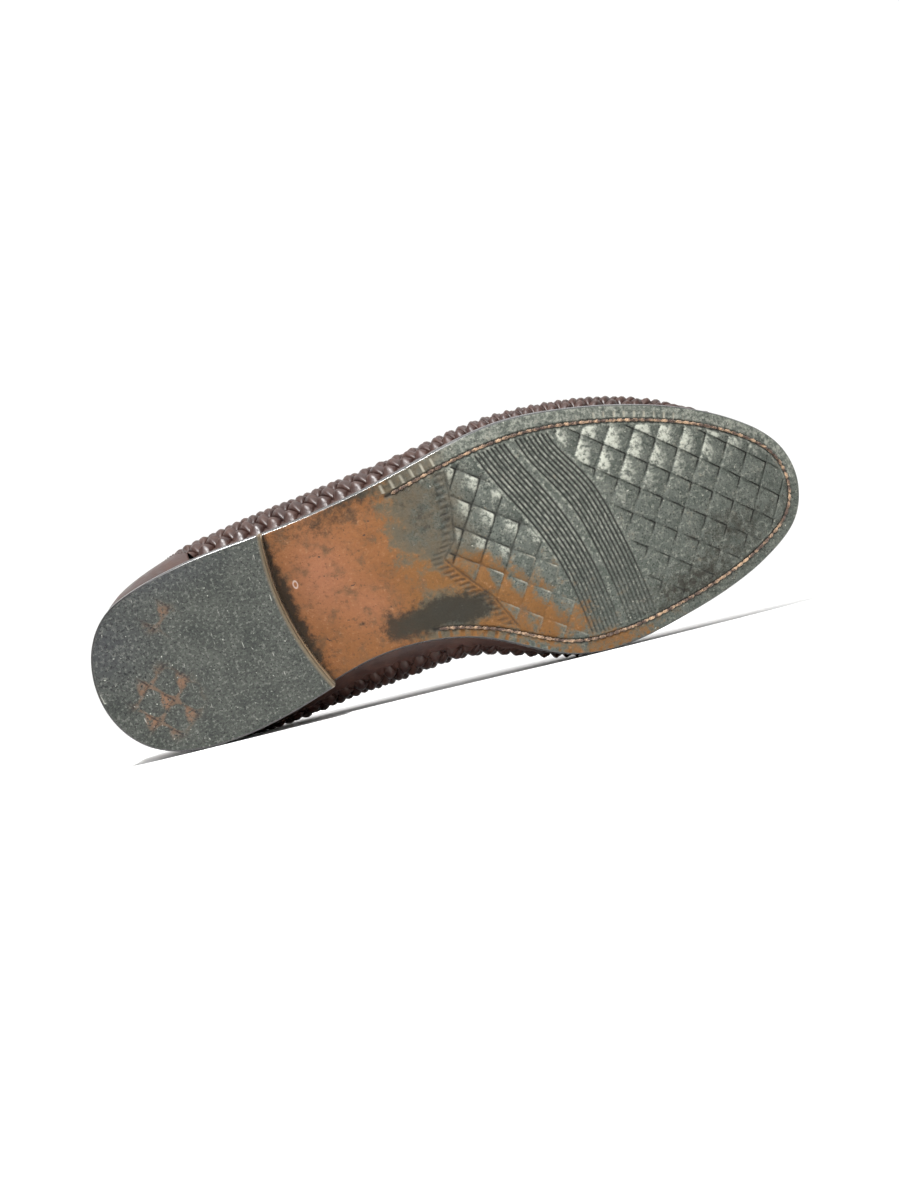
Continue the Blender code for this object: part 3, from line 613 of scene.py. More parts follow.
class Shader:
    """A procedural material, its nodes added and linked by short calls."""

    def __init__(self, name, **constants):
        self.material = bpy.data.materials.new(name)
        self.material.use_nodes = True
        self.tree = self.material.node_tree
        self.surface = self.tree.nodes["Principled BSDF"]
        for socket, value in constants.items():
            self.surface.inputs[socket.replace("_", " ")].default_value = value
        self.place = self.mask("shoe", "Vector")

    def node(self, kind, settings=None, **inputs):
        made = self.tree.nodes.new(kind)
        for key, value in (settings or {}).items():
            setattr(made, key, value)
        for key, value in inputs.items():
            self.feed(made.inputs[key.replace("_", " ")], value)
        return made

    def feed(self, socket, value):
        if isinstance(value, bpy.types.NodeSocket):
            self.tree.links.new(value, socket)
        elif isinstance(value, tuple) and len(value) == 3 and socket.type == "RGBA":
            socket.default_value = (*value, 1)
        else:
            socket.default_value = value

    def mask(self, name, output="Fac"):
        return self.node("ShaderNodeAttribute", {"attribute_name": name}).outputs[output]

    def noise(self, size, detail=3, roughness=0.55, stretch=None):
        """Noise whose features are about a given number of millimetres across."""
        place = self.place
        if stretch:
            place = self.node("ShaderNodeMapping", Vector=place, Scale=stretch).outputs["Vector"]
        made = self.node("ShaderNodeTexNoise", Vector=place, Scale=1 / size, Detail=detail)
        self.feed(made.inputs["Roughness"], roughness)
        return made.outputs["Fac"]

    def cells(self, size, feature="F1"):
        made = self.node("ShaderNodeTexVoronoi", {"feature": feature}, Vector=self.place, Scale=1 / size)
        return made.outputs["Distance"]

    def ring(self, centre, reach):
        """Thin oval ring round a place in plan."""
        scale = (1 / reach[0], 1 / reach[1], 0)
        shift = (-centre[0] * scale[0], -centre[1] * scale[1], 0)
        moved = self.node("ShaderNodeMapping", Vector=self.place, Scale=scale, Location=shift)
        length = self.node("ShaderNodeVectorMath", {"operation": "LENGTH"})
        self.feed(length.inputs[0], moved.outputs["Vector"])
        away = length.outputs["Value"]
        return self.math("MULTIPLY", self.spread(away, 0.55, 0.85), self.spread(away, 1.35, 1.05, 0, 0.8))

    def spread(self, value, low, high, start=0, end=1):
        """Value mapped smoothly from one range to another."""
        settings = {"interpolation_type": "SMOOTHSTEP"}
        made = self.node("ShaderNodeMapRange", settings, Value=value, From_Min=low, From_Max=high)
        self.feed(made.inputs["To Min"], start)
        self.feed(made.inputs["To Max"], end)
        return made.outputs["Result"]

    def math(self, operation, a, b):
        made = self.node("ShaderNodeMath", {"operation": operation})
        self.feed(made.inputs[0], a)
        self.feed(made.inputs[1], b)
        return made.outputs[0]

    def mix(self, share, first, second):
        made = self.node("ShaderNodeMix", {"data_type": "RGBA"})
        self.feed(made.inputs["Factor"], share)
        self.feed(made.inputs[6], first)
        self.feed(made.inputs[7], second)
        return made.outputs[2]

    def layers(self, colour, *rows):
        """Colour with tints laid over it in turn, each by a mask or by a stretch of a noise."""
        for tint, value, *stretch in rows:
            if stretch:
                low, high, amount = stretch
                value = self.spread(value, low, high, 0, amount)
            colour = self.mix(value, colour, tint)
        return colour

    def finish(self, colour=None, roughness=None, height=None, strength=0.4, depth=0.2):
        """Links colour, roughness and a bump whose depth is in millimetres."""
        if colour is not None:
            self.feed(self.surface.inputs["Base Color"], colour)
        if roughness is not None:
            self.feed(self.surface.inputs["Roughness"], roughness)
        if height is not None:
            bump = self.node("ShaderNodeBump", Strength=strength, Distance=depth * MM, Height=height)
            self.feed(self.surface.inputs["Normal"], bump.outputs["Normal"])
        return self.material


def sole_material():
    """Black sole paint worn grey-green, rubbed through to tan leather, with painted shade in the cuts, dirt
    and painted shade in dark patches, and painted highlights on raised places.
    """
    shade = Shader("sole_worn", Specular_IOR_Level=0.22)
    blotch = shade.noise(7, 5, 0.62)
    fleck = shade.noise(2, 4, 0.75)
    grain = shade.noise(0.8, 3, 0.75)
    cloud = shade.noise(24, 3)
    polish_and_highlight = shade.mask("polish_and_highlight")
    # painted glint: the highlight mask lightens the paint on scale tips, groove ridges and the lateral
    # margin; it also lowers the roughness
    painted_glint = shade.math("MULTIPLY", polish_and_highlight, shade.spread(fleck, 0.32, 0.6, 0.15, 1))
    paint = shade.layers(
        (0.054, 0.063, 0.053),
        ((0.094, 0.102, 0.088), blotch, 0.3, 0.7, 1),
        ((0.2, 0.206, 0.174), fleck, 0.5, 0.68, 0.85),
        ((0.014, 0.017, 0.014), grain, 0.5, 0.34, 0.92),
        ((0.34, 0.34, 0.29), shade.noise(1.5, 1), 0.71, 0.8, 1),
        ((0.4, 0.41, 0.35), painted_glint, 0.1, 0.9, 0.92),
    )
    bare = shade.layers(
        (0.148, 0.058, 0.016),
        ((0.188, 0.074, 0.024), cloud, 0.35, 0.65, 1),
        ((0.24, 0.098, 0.05), shade.mask("pink")),
        ((0.135, 0.06, 0.014), shade.mask("tawny")),
        ((0.08, 0.043, 0.02), blotch, 0.52, 0.3, 0.8),
        ((0.068, 0.034, 0.016), fleck, 0.48, 0.3, 0.7),
        ((0.29, 0.15, 0.075), fleck, 0.56, 0.72, 0.5),
        ((0.05, 0.026, 0.016), shade.noise(2.4, 2), 0.31, 0.26, 1),
    )
    ragged = shade.math("ADD", shade.mask("bare"), shade.spread(blotch, 0.25, 0.75, -0.45, 0.45))
    ragged = shade.math("ADD", ragged, shade.spread(fleck, 0.3, 0.7, -0.25, 0.25))
    rubbed = shade.math("MULTIPLY", shade.spread(ragged, -0.95, 0.1, 0, 0.9), shade.mask("olive"))
    broken = shade.spread(shade.noise(3, 5, 0.75), 0.25, 0.75, -0.36, 0.36)
    colour = shade.layers(
        paint,
        ((0.074, 0.058, 0.036), rubbed),
        ((0.105, 0.074, 0.04), ragged, 0, 0.6, 0.8),
        (bare, ragged, 0.25, 0.95, 1),
        # dark patches of dirt and painted shade
        ((0.014, 0.011, 0.006), shade.math("ADD", shade.mask("dirt_and_shade"), broken), 0.1, 0.9, 0.92),
        # pale tick marks, and painted highlight on the scales' crescents
        ((0.33, 0.31, 0.25), shade.mask("pale_and_highlight")),
        ((0.38, 0.3, 0.26), shade.ring((85, -20), (0.9, 1.5))),
        # painted shade: near black in the grooves, scale cuts, ribs and stitch channel
        ((0.009, 0.008, 0.007), shade.mask("cut")),
    )
    roughness = shade.spread(blotch, 0.25, 0.75, 0.42, 0.62)
    roughness = shade.math("SUBTRACT", roughness, shade.spread(polish_and_highlight, 0.2, 1, 0, 0.14))
    height = shade.math("ADD", grain, shade.math("ADD", fleck, blotch))
    return shade.finish(colour, roughness, height, 0.9, 0.4)


def edge_material():
    """Blacked and waxed leather edge, with fine lines along it."""
    shade = Shader("edge_black", Specular_IOR_Level=0.6, Coat_Weight=0.5, Coat_Roughness=0.12)
    lines = shade.noise(1, 2, 0.5, (0.06, 0.06, 1.6))
    wear = shade.noise(9, 3)
    colour = shade.mix(shade.spread(wear, 0.55, 0.8), (0.008, 0.0075, 0.0075), (0.03, 0.026, 0.022))
    return shade.finish(colour, shade.spread(wear, 0.3, 0.7, 0.18, 0.34), lines, 0.25, 0.12)


def rubber_material():
    """Dark grey rubber with pale grit, scratches, brown scuffs and painted shade in the scales' cut lines.
    """
    shade = Shader("heel_rubber_worn", Specular_IOR_Level=0.22)
    grain = shade.noise(0.9, 3, 0.75)
    fleck = shade.noise(1.5, 4, 0.75)
    blotch = shade.noise(13, 4)
    scratch = shade.noise(1.1, 2, 0.5, (1, 0.14, 1))
    patchy = shade.spread(shade.noise(1.8, 4, 0.75), 0.38, 0.54)
    colour = shade.layers(
        (0.027, 0.031, 0.027),
        ((0.056, 0.06, 0.053), blotch, 0.3, 0.7, 1),
        ((0.04, 0.042, 0.046), shade.mask("rim")),
        ((0.165, 0.17, 0.15), fleck, 0.48, 0.72, 0.8),
        ((0.009, 0.011, 0.01), grain, 0.5, 0.34, 0.92),
        ((0.38, 0.39, 0.34), shade.noise(1.4, 1), 0.72, 0.8, 1),
        ((0.36, 0.36, 0.32), scratch, 0.7, 0.77, 0.75),
        ((0.15, 0.082, 0.048), shade.math("MULTIPLY", shade.mask("scuff"), patchy)),
        ((0.135, 0.105, 0.068), shade.mask("raw")),
        # painted shade in the scales' cut lines
        ((0.012, 0.012, 0.011), shade.mask("cut")),
    )
    roughness = shade.spread(blotch, 0.3, 0.7, 0.55, 0.78)
    return shade.finish(colour, roughness, shade.math("ADD", grain, fleck), 0.8, 0.3)


def heel_block_material():
    """Stacked leather of the heel, blacked at the sides and bare at the front face."""
    shade = Shader("heel_block", Specular_IOR_Level=0.55, Coat_Weight=0.4, Coat_Roughness=0.15)
    wear = shade.noise(8, 3)
    grain = shade.noise(1.2, 2, 0.5, (0.2, 0.2, 1.5))
    colour = shade.mix(shade.spread(wear, 0.5, 0.8), (0.008, 0.0075, 0.0075), (0.028, 0.024, 0.02))
    colour = shade.mix(shade.mask("raw"), colour, (0.17, 0.125, 0.078))
    return shade.finish(colour, shade.spread(wear, 0.3, 0.7, 0.2, 0.36), grain, 0.3, 0.15)


def leather_material(name, dark, light, rough, grain_size, coat):
    """Polished leather with pebbled grain, colour that pools and a little wear."""
    shade = Shader(name, Specular_IOR_Level=0.34, Coat_Weight=coat, Coat_Roughness=0.22)
    pool = shade.noise(6, 4)
    fine = shade.noise(grain_size, 2, 0.6)
    pebble = shade.cells(grain_size * 1.6)
    colour = shade.mix(shade.spread(pool, 0.3, 0.7), dark, light)
    height = shade.math("ADD", pebble, fine)
    return shade.finish(colour, shade.spread(pool, 0.3, 0.7, rough - 0.07, rough + 0.08), height, 0.32, 0.14)


def thread_material(name, dark, light):
    shade = Shader(name, Roughness=0.62, Sheen_Weight=0.25)
    tone = shade.noise(3.2, 3)
    fibre = shade.noise(0.35, 2, 0.6)
    colour = shade.mix(shade.spread(tone, 0.42, 0.64), dark, light)
    return shade.finish(colour, None, fibre, 0.4, 0.1)


def patches(table, x, y):
    """Sum of soft oval patches."""
    total = np.zeros_like(x)
    for centre_x, centre_y, reach_x, reach_y, amount in table:
        total += amount * np.exp(-((x - centre_x) / reach_x) ** 2 - ((y - centre_y) / reach_y) ** 2)
    return total


def scales(x, y, origin, across=SCALE_ACROSS, along=SCALE_ALONG):
    """Embossed scales on a slanting lattice: shares forward and outward, pillow and the cut lines that are
    painted dark as shade.
    """
    det = across[0] * along[1] - across[1] * along[0]
    dx, dy = x - origin[0], y - origin[1]
    a = (dx * along[1] - dy * along[0]) / det
    b = (dy * across[0] - dx * across[1]) / det
    fa, fb = a - np.floor(a), b - np.floor(b)
    pillow = np.sqrt(np.sin(math.pi * fa) * np.sin(math.pi * fb))
    front = thin(1 - fa, SCALE_CUT, 1.6) * ease(1 - fb, 0.35, 0.95)
    flank = thin(fb, SCALE_CUT, 1.6) * ease(fa, 0.12, 0.8)
    return fa, 1 - fb, pillow, np.maximum(front, flank)


def groove_distance(x, y, band):
    """Distance across a band of grooves from its back line, positive towards the toe."""
    slope = (GROOVE_LINES(y + 1) - GROOVE_LINES(y - 1))[..., band] / 2
    return (x - GROOVE_LINES(y)[..., band]) / np.sqrt(1 + slope ** 2)


def border_distance(x, y):
    """Distance across the border line, positive towards the toe, and the run along it."""
    fine = np.linspace(BORDER_LINE[0][0], BORDER_LINE[-1][0], 400)
    run = np.cumsum(np.hypot(np.gradient(read_table(BORDER_LINE, fine)), np.gradient(fine)))
    slope = (read_table(BORDER_LINE, y + 1) - read_table(BORDER_LINE, y - 1)) / 2
    return (x - read_table(BORDER_LINE, y)) / np.sqrt(1 + slope ** 2), np.interp(y, fine, run)


def tread_relief(x, y):
    """Relief of the forefoot: height towards the ground, and masks of cuts that get painted shade, of polish
    with painted highlight, of paint kept in the cells and of pale crescents that are painted highlight.
    """
    cut = np.zeros_like(x)
    ridges = np.zeros_like(x)
    width = GROOVE_PITCH * (GROOVE_COUNT - 1)
    first, second = [groove_distance(x, y, band) for band in (0, 1)]
    for back in (first, second):
        slot = np.clip(np.round(back / GROOVE_PITCH), 0, GROOVE_COUNT - 1)
        line = thin(back - slot * GROOVE_PITCH, GROOVE_HALF)
        cut = np.maximum(cut, line * (1 - 0.35 * ease(y, 5, 38)))
        ridges = np.maximum(ridges, (back > -1.5) * (back < width + 1.5) * (1 - line))
    border, border_run = border_distance(x, y)
    toe_share = ease(second - width, 1.5, 3.5) * (1 - 0.45 * ease(y, -8, 34))
    rear_share = ease(border, 0.2, 1.2) * ease(-first, 1.2, 2.6)
    rear_share = rear_share * (1 - 0.5 * ease(y, -5, 20))
    ahead, upper, pillow, slit = scales(x, y, TOE_SCALE_ORIGIN)
    rise = ((1 - ahead) * (1 - 0.75 * upper)) ** 0.8
    height = toe_share * (1.1 * rise + 0.45 * pillow - 0.5)
    # painted highlight on the raised rear part of each toe scale, fading towards the medial side
    polish_and_highlight = toe_share * (0.12 + 0.88 * ease(rise, 0.16, 0.72) * ease(-y, 2, 34))
    mark = slit * np.sqrt(toe_share)
    ahead, upper, rear_pillow, slit = scales(x, y, REAR_SCALE_ORIGIN)
    height += rear_share * (0.5 * (ahead * upper) ** 0.8 + 1.3 * rear_pillow - 0.8)
    # painted highlight on the rear cells' pillows and on the ridges between grooves, towards the lateral
    # side
    highlight_share = ease(ahead * upper, 0.08, 0.62) * ease(rear_pillow, 0.05, 0.4)
    polish_and_highlight = polish_and_highlight + 0.82 * rear_share * highlight_share * ease(-y, -8, 14)
    polish_and_highlight = polish_and_highlight + 0.42 * ridges * (1 - ease(y, -5, 36))
    worn = ease(y, -10, 1)
    lines = np.maximum(slit, 0.5 * ease(rear_pillow, 0.34, 0.12))
    mark = np.maximum(mark, rear_share * lines * (1 - 0.55 * worn))
    # pale crescents on the scales' edges in the worn area: painted highlight
    highlight_crescent = rear_share * worn * slit * ease(ahead, 0.3, 0.7)
    kept = rear_share * worn * ease(ahead * upper, 0.14, 0.5)
    low, high = BORDER_LINE[0][0], BORDER_LINE[-1][0]
    on_line = thin(border, 0.6, 1) * (y > low) * (y < high)
    in_ribs = ease(-border, 0.8, 1.4) * ease(-border, 5.2, 4.4)
    in_ribs = in_ribs * (y > low + 1) * (y < high - 2)
    ribs = in_ribs * (0.5 + 0.5 * np.cos(2 * math.pi * border_run / RIB_PITCH))
    height -= 0.35 * on_line + 0.4 * ribs
    height -= GROOVE_DEPTH * cut + 0.45 * mark
    shown = np.maximum(np.maximum(cut, mark), np.maximum(0.55 * on_line, 0.4 * ribs))
    return height, shown * (1 - highlight_crescent), polish_and_highlight, kept, 0.75 * highlight_crescent


def border_relief(side, x, inset, run):
    """Relief of the margin: the stitched channel and the wheel's ticks."""
    stitch = read_table(STITCH_INSET, x, 1 + side)
    stitched = ease(x, STITCH_START_X[side] - 1, STITCH_START_X[side])
    channel = thin(inset - stitch, CHANNEL_HALF) * stitched
    beat = np.abs((run / TICK_PITCH) % 1 - 0.5) * TICK_PITCH
    if side == LATERAL:
        rear = (x > 127) * (1 - ease(x, 150, 164))
        front = ease(x, 216, 224) * (1 - ease(x, 256, 268))
        long_ticks = (inset > 1.8) * (inset < stitch - 1.3) * rear
        short_ticks = (inset > 3) * (inset < stitch - 1.2) * front
    else:
        rear = (x > 134) * (1 - ease(x, 158, 168))
        front = (x > 160) * (1 - ease(x, 205, 232))
        long_ticks = (inset > 1.1) * (inset < stitch - 0.9) * rear
        short_ticks = 0.6 * (inset > 0.9) * (inset < 2.2) * front
    tick = thin(beat, TICK_HALF) * np.maximum(long_ticks, short_ticks)
    return -CHANNEL_DEPTH * channel - TICK_DEPTH * tick, channel, tick, stitch


def make_outsole(name, stations, interior, materials):
    """Stretch of the outsole: rounded black edge, margin with channel and ticks, and the worn tread."""
    count = len(stations)
    rim = [(0.5, 4.6), (0.1, 4.4), (-0.15, 3.9), (-0.1, 2.6), (0.15, 1.3), (0.45, 0.55), (0.8, 0.12)]
    margin = np.arange(1.15, 9.4, 0.42)
    across = np.linspace(0, 1, interior)[1:-1]
    insets = np.array([inset for inset, _ in rim] + list(margin))
    heights = np.array([height for _, height in rim] + [0] * len(margin))
    sides = []
    for side in SIDES:
        plan = np.stack([edge_point(side, stations, inset)[0] for inset in insets], axis=1)
        run = np.interp(stations, FINE_STATIONS, FINE_SIDE_RUNS[side])
        sides.append((plan, np.broadcast_to(run[:, None], plan.shape[:2])))
    inner = between(*[plan[:, -1] for plan, _ in sides], across)
    plan = np.concatenate([sides[0][0], inner, sides[1][0][:, ::-1]], axis=1)
    x, y = plan[..., 0], plan[..., 1]
    width = len(insets)
    height, cut, polish_and_highlight, kept, pale_and_highlight = tread_relief(x, y)
    tan_ticks = np.zeros_like(x)
    z = underside(x)
    for side in SIDES:
        part = slice(0, width) if side == LATERAL else slice(x.shape[1] - width, None)
        order = -SIGNS[side]
        low, channel, tick, stitch = border_relief(side, x[:, part], insets[::order], sides[side][1])
        inside = ease(insets[::order] - stitch, 1.4, 2.6)
        inside = np.where(x[:, part] > 145, inside, 1)
        tread = heights[::order] <= 0
        height[:, part] = (height[:, part] * inside + low) * tread
        cut[:, part] = np.maximum(cut[:, part] * inside, 0.8 * channel) * tread
        polish_and_highlight[:, part] *= inside * tread
        if side == LATERAL:
            # painted highlight along the lateral margin
            polish_and_highlight[:, part] += 0.4 * (1 - inside) * (1 - channel) * tread
            pale_and_highlight[:, part] = np.maximum(pale_and_highlight[:, part] * inside, 0.75 * ease(tick, 0.55, 1)) * tread
        else:
            tan_ticks[:, part] = tick * tread
            pale_and_highlight[:, part] *= inside * tread
        z[:, part] += heights[::order]
    in_front = ease(x, 124, 132)
    uneven = 0.1 * np.sin(x * 0.21 + y * 0.13) * np.sin(y * 0.27 - x * 0.05)
    z = z - height * in_front + uneven
    bare = 1.9 * (1 - ease(x, 112, 146)) - 0.3 + patches(BARE_PATCHES, x, y)
    bare = bare - kept + 1.2 * tan_ticks
    breast = BREAST_X[0] + (BREAST_X[1] - BREAST_X[0]) * np.clip((y + 44) / 69, 0, 1)
    from_breast = x - breast + 4
    # the band along the heel's breast is painted shadow and dirt
    dirt_and_shade = patches(DIRT_AND_SHADE_PATCHES, x, y) + 1.1 * (1 - ease(from_breast, 1, 9))
    masks = {
        "bare": np.clip(bare, -0.5, 1.8),
        "dirt_and_shade": np.clip(dirt_and_shade, 0, 1.2),
        "pink": np.clip(patches(PINK_PATCHES, x, y), 0, 1) * 0.8,
        "tawny": ease(x, 116, 142) * 0.9,
        "olive": 1 - ease(x, 148, 168),
        "pale_and_highlight": pale_and_highlight,
        "polish_and_highlight": np.clip(polish_and_highlight, 0, 1),
        "cut": cut,
    }
    points = np.stack([x, y, z], axis=-1)
    faces = grid_quads(count, x.shape[1], close_columns=True)
    column = np.tile(np.arange(x.shape[1]), count - 1)
    black = (column < len(rim) - 1) | (column > x.shape[1] - 1 - len(rim))
    return make_piece(name, points, faces, materials, ["outsole"], masks, black)


def make_outsoles(materials):
    """The outsole in two stretches that meet behind the tread, the front one finer."""
    meet = station_of(OUTSOLE_SPLIT_X)
    rear = spaced_stations([(0, 3), (74, 2.4), (80, 0.9), (LENGTH, 0.9)])
    front = spaced_stations([(0, 0.47), (LENGTH, 0.47)])
    make_outsole("outsole_waist", np.append(rear[rear < meet - 1e-3], meet), 110, materials)
    make_outsole("outsole_tread", np.append(meet, front[front > meet + 1e-3]), 190, materials)


def tube(path, across, radius, sides):
    """Points of a tube round a path, with its frame turned by a given direction across."""
    along = unit(np.gradient(path, axis=0))
    second = unit(np.cross(along, across))
    first = np.cross(second, along)
    turns = np.arange(sides) * 2 * math.pi / sides
    ring = np.cos(turns)[:, None, None] * first + np.sin(turns)[:, None, None] * second
    return path[:, None] + np.swapaxes(ring, 0, 1) * np.asarray(radius, float).reshape(-1, 1, 1)


def join_grids(grids, close_columns=True):
    """Points and quads of several grids as one mesh."""
    points, faces, start = [], [], 0
    for grid in grids:
        points.append(grid.reshape(-1, 3))
        faces.append(grid_quads(*grid.shape[:2], close_columns=close_columns) + start)
        start += grid.shape[0] * grid.shape[1]
    return np.concatenate(points), np.concatenate(faces)


def make_sole_stitches(material):
    """Twisted two-ply thread in the channel, dipping into the leather between stitches."""
    parts = []
    for side in SIDES:
        stations = np.linspace(station_of(STITCH_START_X[side] + 1.5), 1, 1200)
        x = edge_point(side, stations)[0][:, 0]
        plan = edge_point(side, stations, read_table(STITCH_INSET, x, 1 + side))[0]
        parts.append(plan if side == LATERAL else plan[-2::-1])
    plan = np.concatenate(parts)
    run = run_along(plan)
    even = np.arange(0, run[-1], THREAD_STEP)
    path = follow(plan, run, even)
    beat = np.abs(np.sin(math.pi * even / THREAD_STITCH))
    z = underside(path[:, 0]) + THREAD_DIP - THREAD_DIP * beat ** 0.5
    path = np.column_stack([path, z])
    up = np.tile([0, 0, 1], (len(path), 1))
    sideways = np.cross(unit(np.gradient(path, axis=0)), up)
    grids = []
    for ply in (0, math.pi):
        turn = 2 * math.pi * even / THREAD_TWIST + ply
        strand = path + THREAD_OFFSET * (np.cos(turn)[:, None] * sideways + np.sin(turn)[:, None] * up)
        grids.append(tube(strand, up, 0.16 + 0.27 * beat, 6))
    points, faces = join_grids(grids)
    return make_piece("sole_stitches", points, faces, [material])


def heel_sections(profile, rows, columns):
    """Cross sections of a heel layer from the back forwards, as closed loops of plan points and heights."""
    steps = np.linspace(0, 1, rows) ** 1.35
    across = np.linspace(0, 1, columns)

    def sides(inset, height):
        lean = BREAST_LEAN * height / HEEL_HEIGHT
        ends = [station_of(BREAST_X[side] + lean) for side in SIDES]
        return [edge_point(side, ends[side] * steps, inset)[0] for side in SIDES]

    def face(inset, height):
        plan = between(*sides(inset, height), across)
        plan[..., 0] -= 4 * BREAST_HOLLOW * across * (1 - across) * steps[:, None] ** 3
        return np.concatenate([plan, np.full(plan.shape[:2] + (1,), height)], axis=2)

    def flank(side):
        lines = []
        for inset, height in profile[1:-1]:
            plan = sides(inset, height)[side]
            lines.append(np.column_stack([plan, np.full(rows, height)]))
        return np.stack(lines, axis=1)

    bottom, top = face(*profile[0]), face(*profile[-1])
    return np.concatenate([bottom, flank(MEDIAL), top[:, ::-1], flank(LATERAL)[:, ::-1]], axis=1)


def heel_layer(name, profile, materials, node, rows=150, columns=156, masks=None):
    """Layer of the heel with its sides, its two faces and its hollow front face."""
    sections = heel_sections(profile, rows, columns)
    loop = sections.shape[1]
    sections[..., 2] = np.minimum(sections[..., 2], underside(sections[..., 0]) - GAP)
    points = sections.copy()
    raw = np.zeros(points.shape[:2])
    raw[-1] = 1
    values = {mask: np.zeros_like(raw) for mask in ("cut", "scuff", "rim")}
    values["raw"] = raw
    if masks:
        masks(points, values, columns)
    faces = grid_quads(rows, loop, close_columns=True).tolist()
    kinds = [int(i % loop >= columns - 1) for i in range(len(faces))] + [0] * (columns - 1)
    last = (rows - 1) * loop
    rim = len(profile) - 2
    top_start = columns + rim
    for j in range(columns - 1):
        low_a, low_b = last + j, last + j + 1
        high_a, high_b = last + top_start + columns - 1 - j, last + top_start + columns - 2 - j
        face = [low_a, low_b, high_b, high_a]
        if j == columns - 2:
            face = [low_a, low_b] + [last + columns + i for i in range(rim)] + [high_b, high_a]
        if j == 0:
            face = face + [last + top_start + columns + i for i in range(rim)]
        faces.append(tuple(face))
    kinds = kinds if len(materials) > 1 else None
    return make_piece(name, points, faces, materials, [node], values, kinds)


def scuff_heel(points, values, columns):
    """Brown marks left on the tread of the heel along two worn patches of scales."""
    x, y = points[..., 0], points[..., 1]
    tread = np.zeros_like(x)
    tread[:, :columns] = 1
    ahead, upper, pillow, slit = scales(x, y, HEEL_SCALE_ORIGIN, HEEL_SCALE_ACROSS, HEEL_SCALE_ALONG)
    near = patches(SCUFF_PATCHES, x, y)
    edge = np.maximum(ease(ahead * upper, 0.4, 0.51), 0.6 * ease(pillow, 0.42, 0.28))
    values["scuff"] = ease(near, 0.15, 0.75) * edge * tread
    # painted shade in the cut lines of the heel's scales
    values["cut"] = 0.95 * slit * ease(near, 0.05, 0.4) * tread
    values["rim"] = 0.8 * np.clip(patches(RIM_PATCHES, x, y), 0, 1)
    wear = 0.45 * np.exp(-((x - 6) / 16) ** 2 - ((y + 20) / 22) ** 2)
    points[..., 2] += (wear + 0.25 * values["cut"]) * tread


def make_heel(rubber, block):
    lift = [(1.15, 0), (0.8, 0.12), (0.45, 0.6), (0.2, 2.6), (0.05, LIFT_HEIGHT)]
    heel_layer("heel_top_piece", lift, [rubber, block], "heel_lift", masks=scuff_heel)
    low = LIFT_HEIGHT + GAP
    stack = [(0.3, low)]
    for line in STACK_LINES:
        stack += [(0.1, line - STACK_LINE_HALF), (0.34, line), (0.1, line + STACK_LINE_HALF)]
    stack.append((0.1, HEEL_HEIGHT))
    heel_layer("heel_stack", stack, [block], "heel_base", 70, 24)


def make_welt(material):
    """Strip between sole and upper, its upper edge notched by a wheel."""
    stations = spaced_stations([(0, 0.55), (LENGTH, 0.55)])
    low = OUTSOLE_THICKNESS + GAP
    high = low + WELT_THICKNESS
    inner = FEATHER_INSET + WALL + GAP
    section = [
        # inset, height, share of the notch
        (inner, low, 0),
        (0.9, low, 0),
        (0.45, low + 0.5, 0),
        (0.42, low + 1.3, 0.3),
        (0.5, high - 0.5, 1),
        (0.95, high, 1),
        (inner, high, 0),
    ]
    rings = []
    for inset, height, notch in section:
        loop = []
        for side in SIDES:
            plan = edge_point(side, stations, inset)[0]
            run = run_along(plan)
            beat = np.cos(2 * math.pi * run / NOTCH_PITCH)
            depth = notch * NOTCH_DEPTH * ease(beat, 0.2, 0.9)
            plan = edge_point(side, stations, inset + depth)[0]
            z = underside(plan[:, 0]) + height - depth * 0.5
            points = np.column_stack([plan, z])
            loop.append(points if side == LATERAL else points[-2:0:-1])
        rings.append(np.concatenate(loop))
    points = np.stack(rings)
    faces = grid_quads(*points.shape[:2], close_rows=True, close_columns=True)
    return make_piece("welt_notched", points, faces, [material], ["welt"])


def make_insole(material):
    """Sock and board inside the shoe, dished under the heel and the ball."""
    stations = spaced_stations([(0, 2.2), (LENGTH, 2.2)])
    inset = FEATHER_INSET + WALL + 0.7
    low = OUTSOLE_THICKNESS + GAP
    high = low + WELT_THICKNESS + GAP + INSOLE_PROUD
    across = np.linspace(0, 1, 40)
    plan = between(*[edge_point(side, stations, inset)[0] for side in SIDES], across)
    x = plan[..., 0]
    hollow = 4 * across * (1 - across)
    dish = 1.1 * hollow * (np.exp(-((x - 42) / 34) ** 2) + 0.8 * np.exp(-((x - 205) / 40) ** 2))
    top = np.concatenate([plan, (underside(x) + high - dish)[..., None]], axis=2)
    bottom = np.concatenate([plan, (underside(x) + low)[..., None]], axis=2)
    points = np.concatenate([top, bottom[:, ::-1]], axis=1)
    faces = grid_quads(*points.shape[:2], close_columns=True)
    return make_piece("insole_sock", points, faces, [material], ["insole"])


def overlay_height(x, lateral):
    """Height of the plain leather up the wall at x, on either side."""
    band = np.where(lateral, LATERAL_BAND_HEIGHT, read_table(BAND_HEIGHT, x))
    return np.where(x < COUNTER_FRONT_X, read_table(COUNTER_HEIGHT, x), band) * (x < BAND_FRONT_X)


def crease(points):
    """Soft troughs and ridges where the shoe has been walked in, as a lift off the last."""
    x, y, z = points[..., 0], points[..., 1], points[..., 2]
    lift = np.zeros_like(x)
    for start, slant, width, depth in BALL_CREASES:
        across = x - start - slant * (y + 50)
        trough = -np.exp(-(across / width) ** 2) + 0.45 * np.exp(-((across - 1.9 * width) / width) ** 2)
        lift += depth * trough * ease(z, 16, 34)
    for centre, lean, width, depth in QUARTER_CREASES:
        across = x - centre - lean * (z - 50)
        lift -= depth * np.exp(-(across / width) ** 2) * ease(z, 30, 55)
    return lift


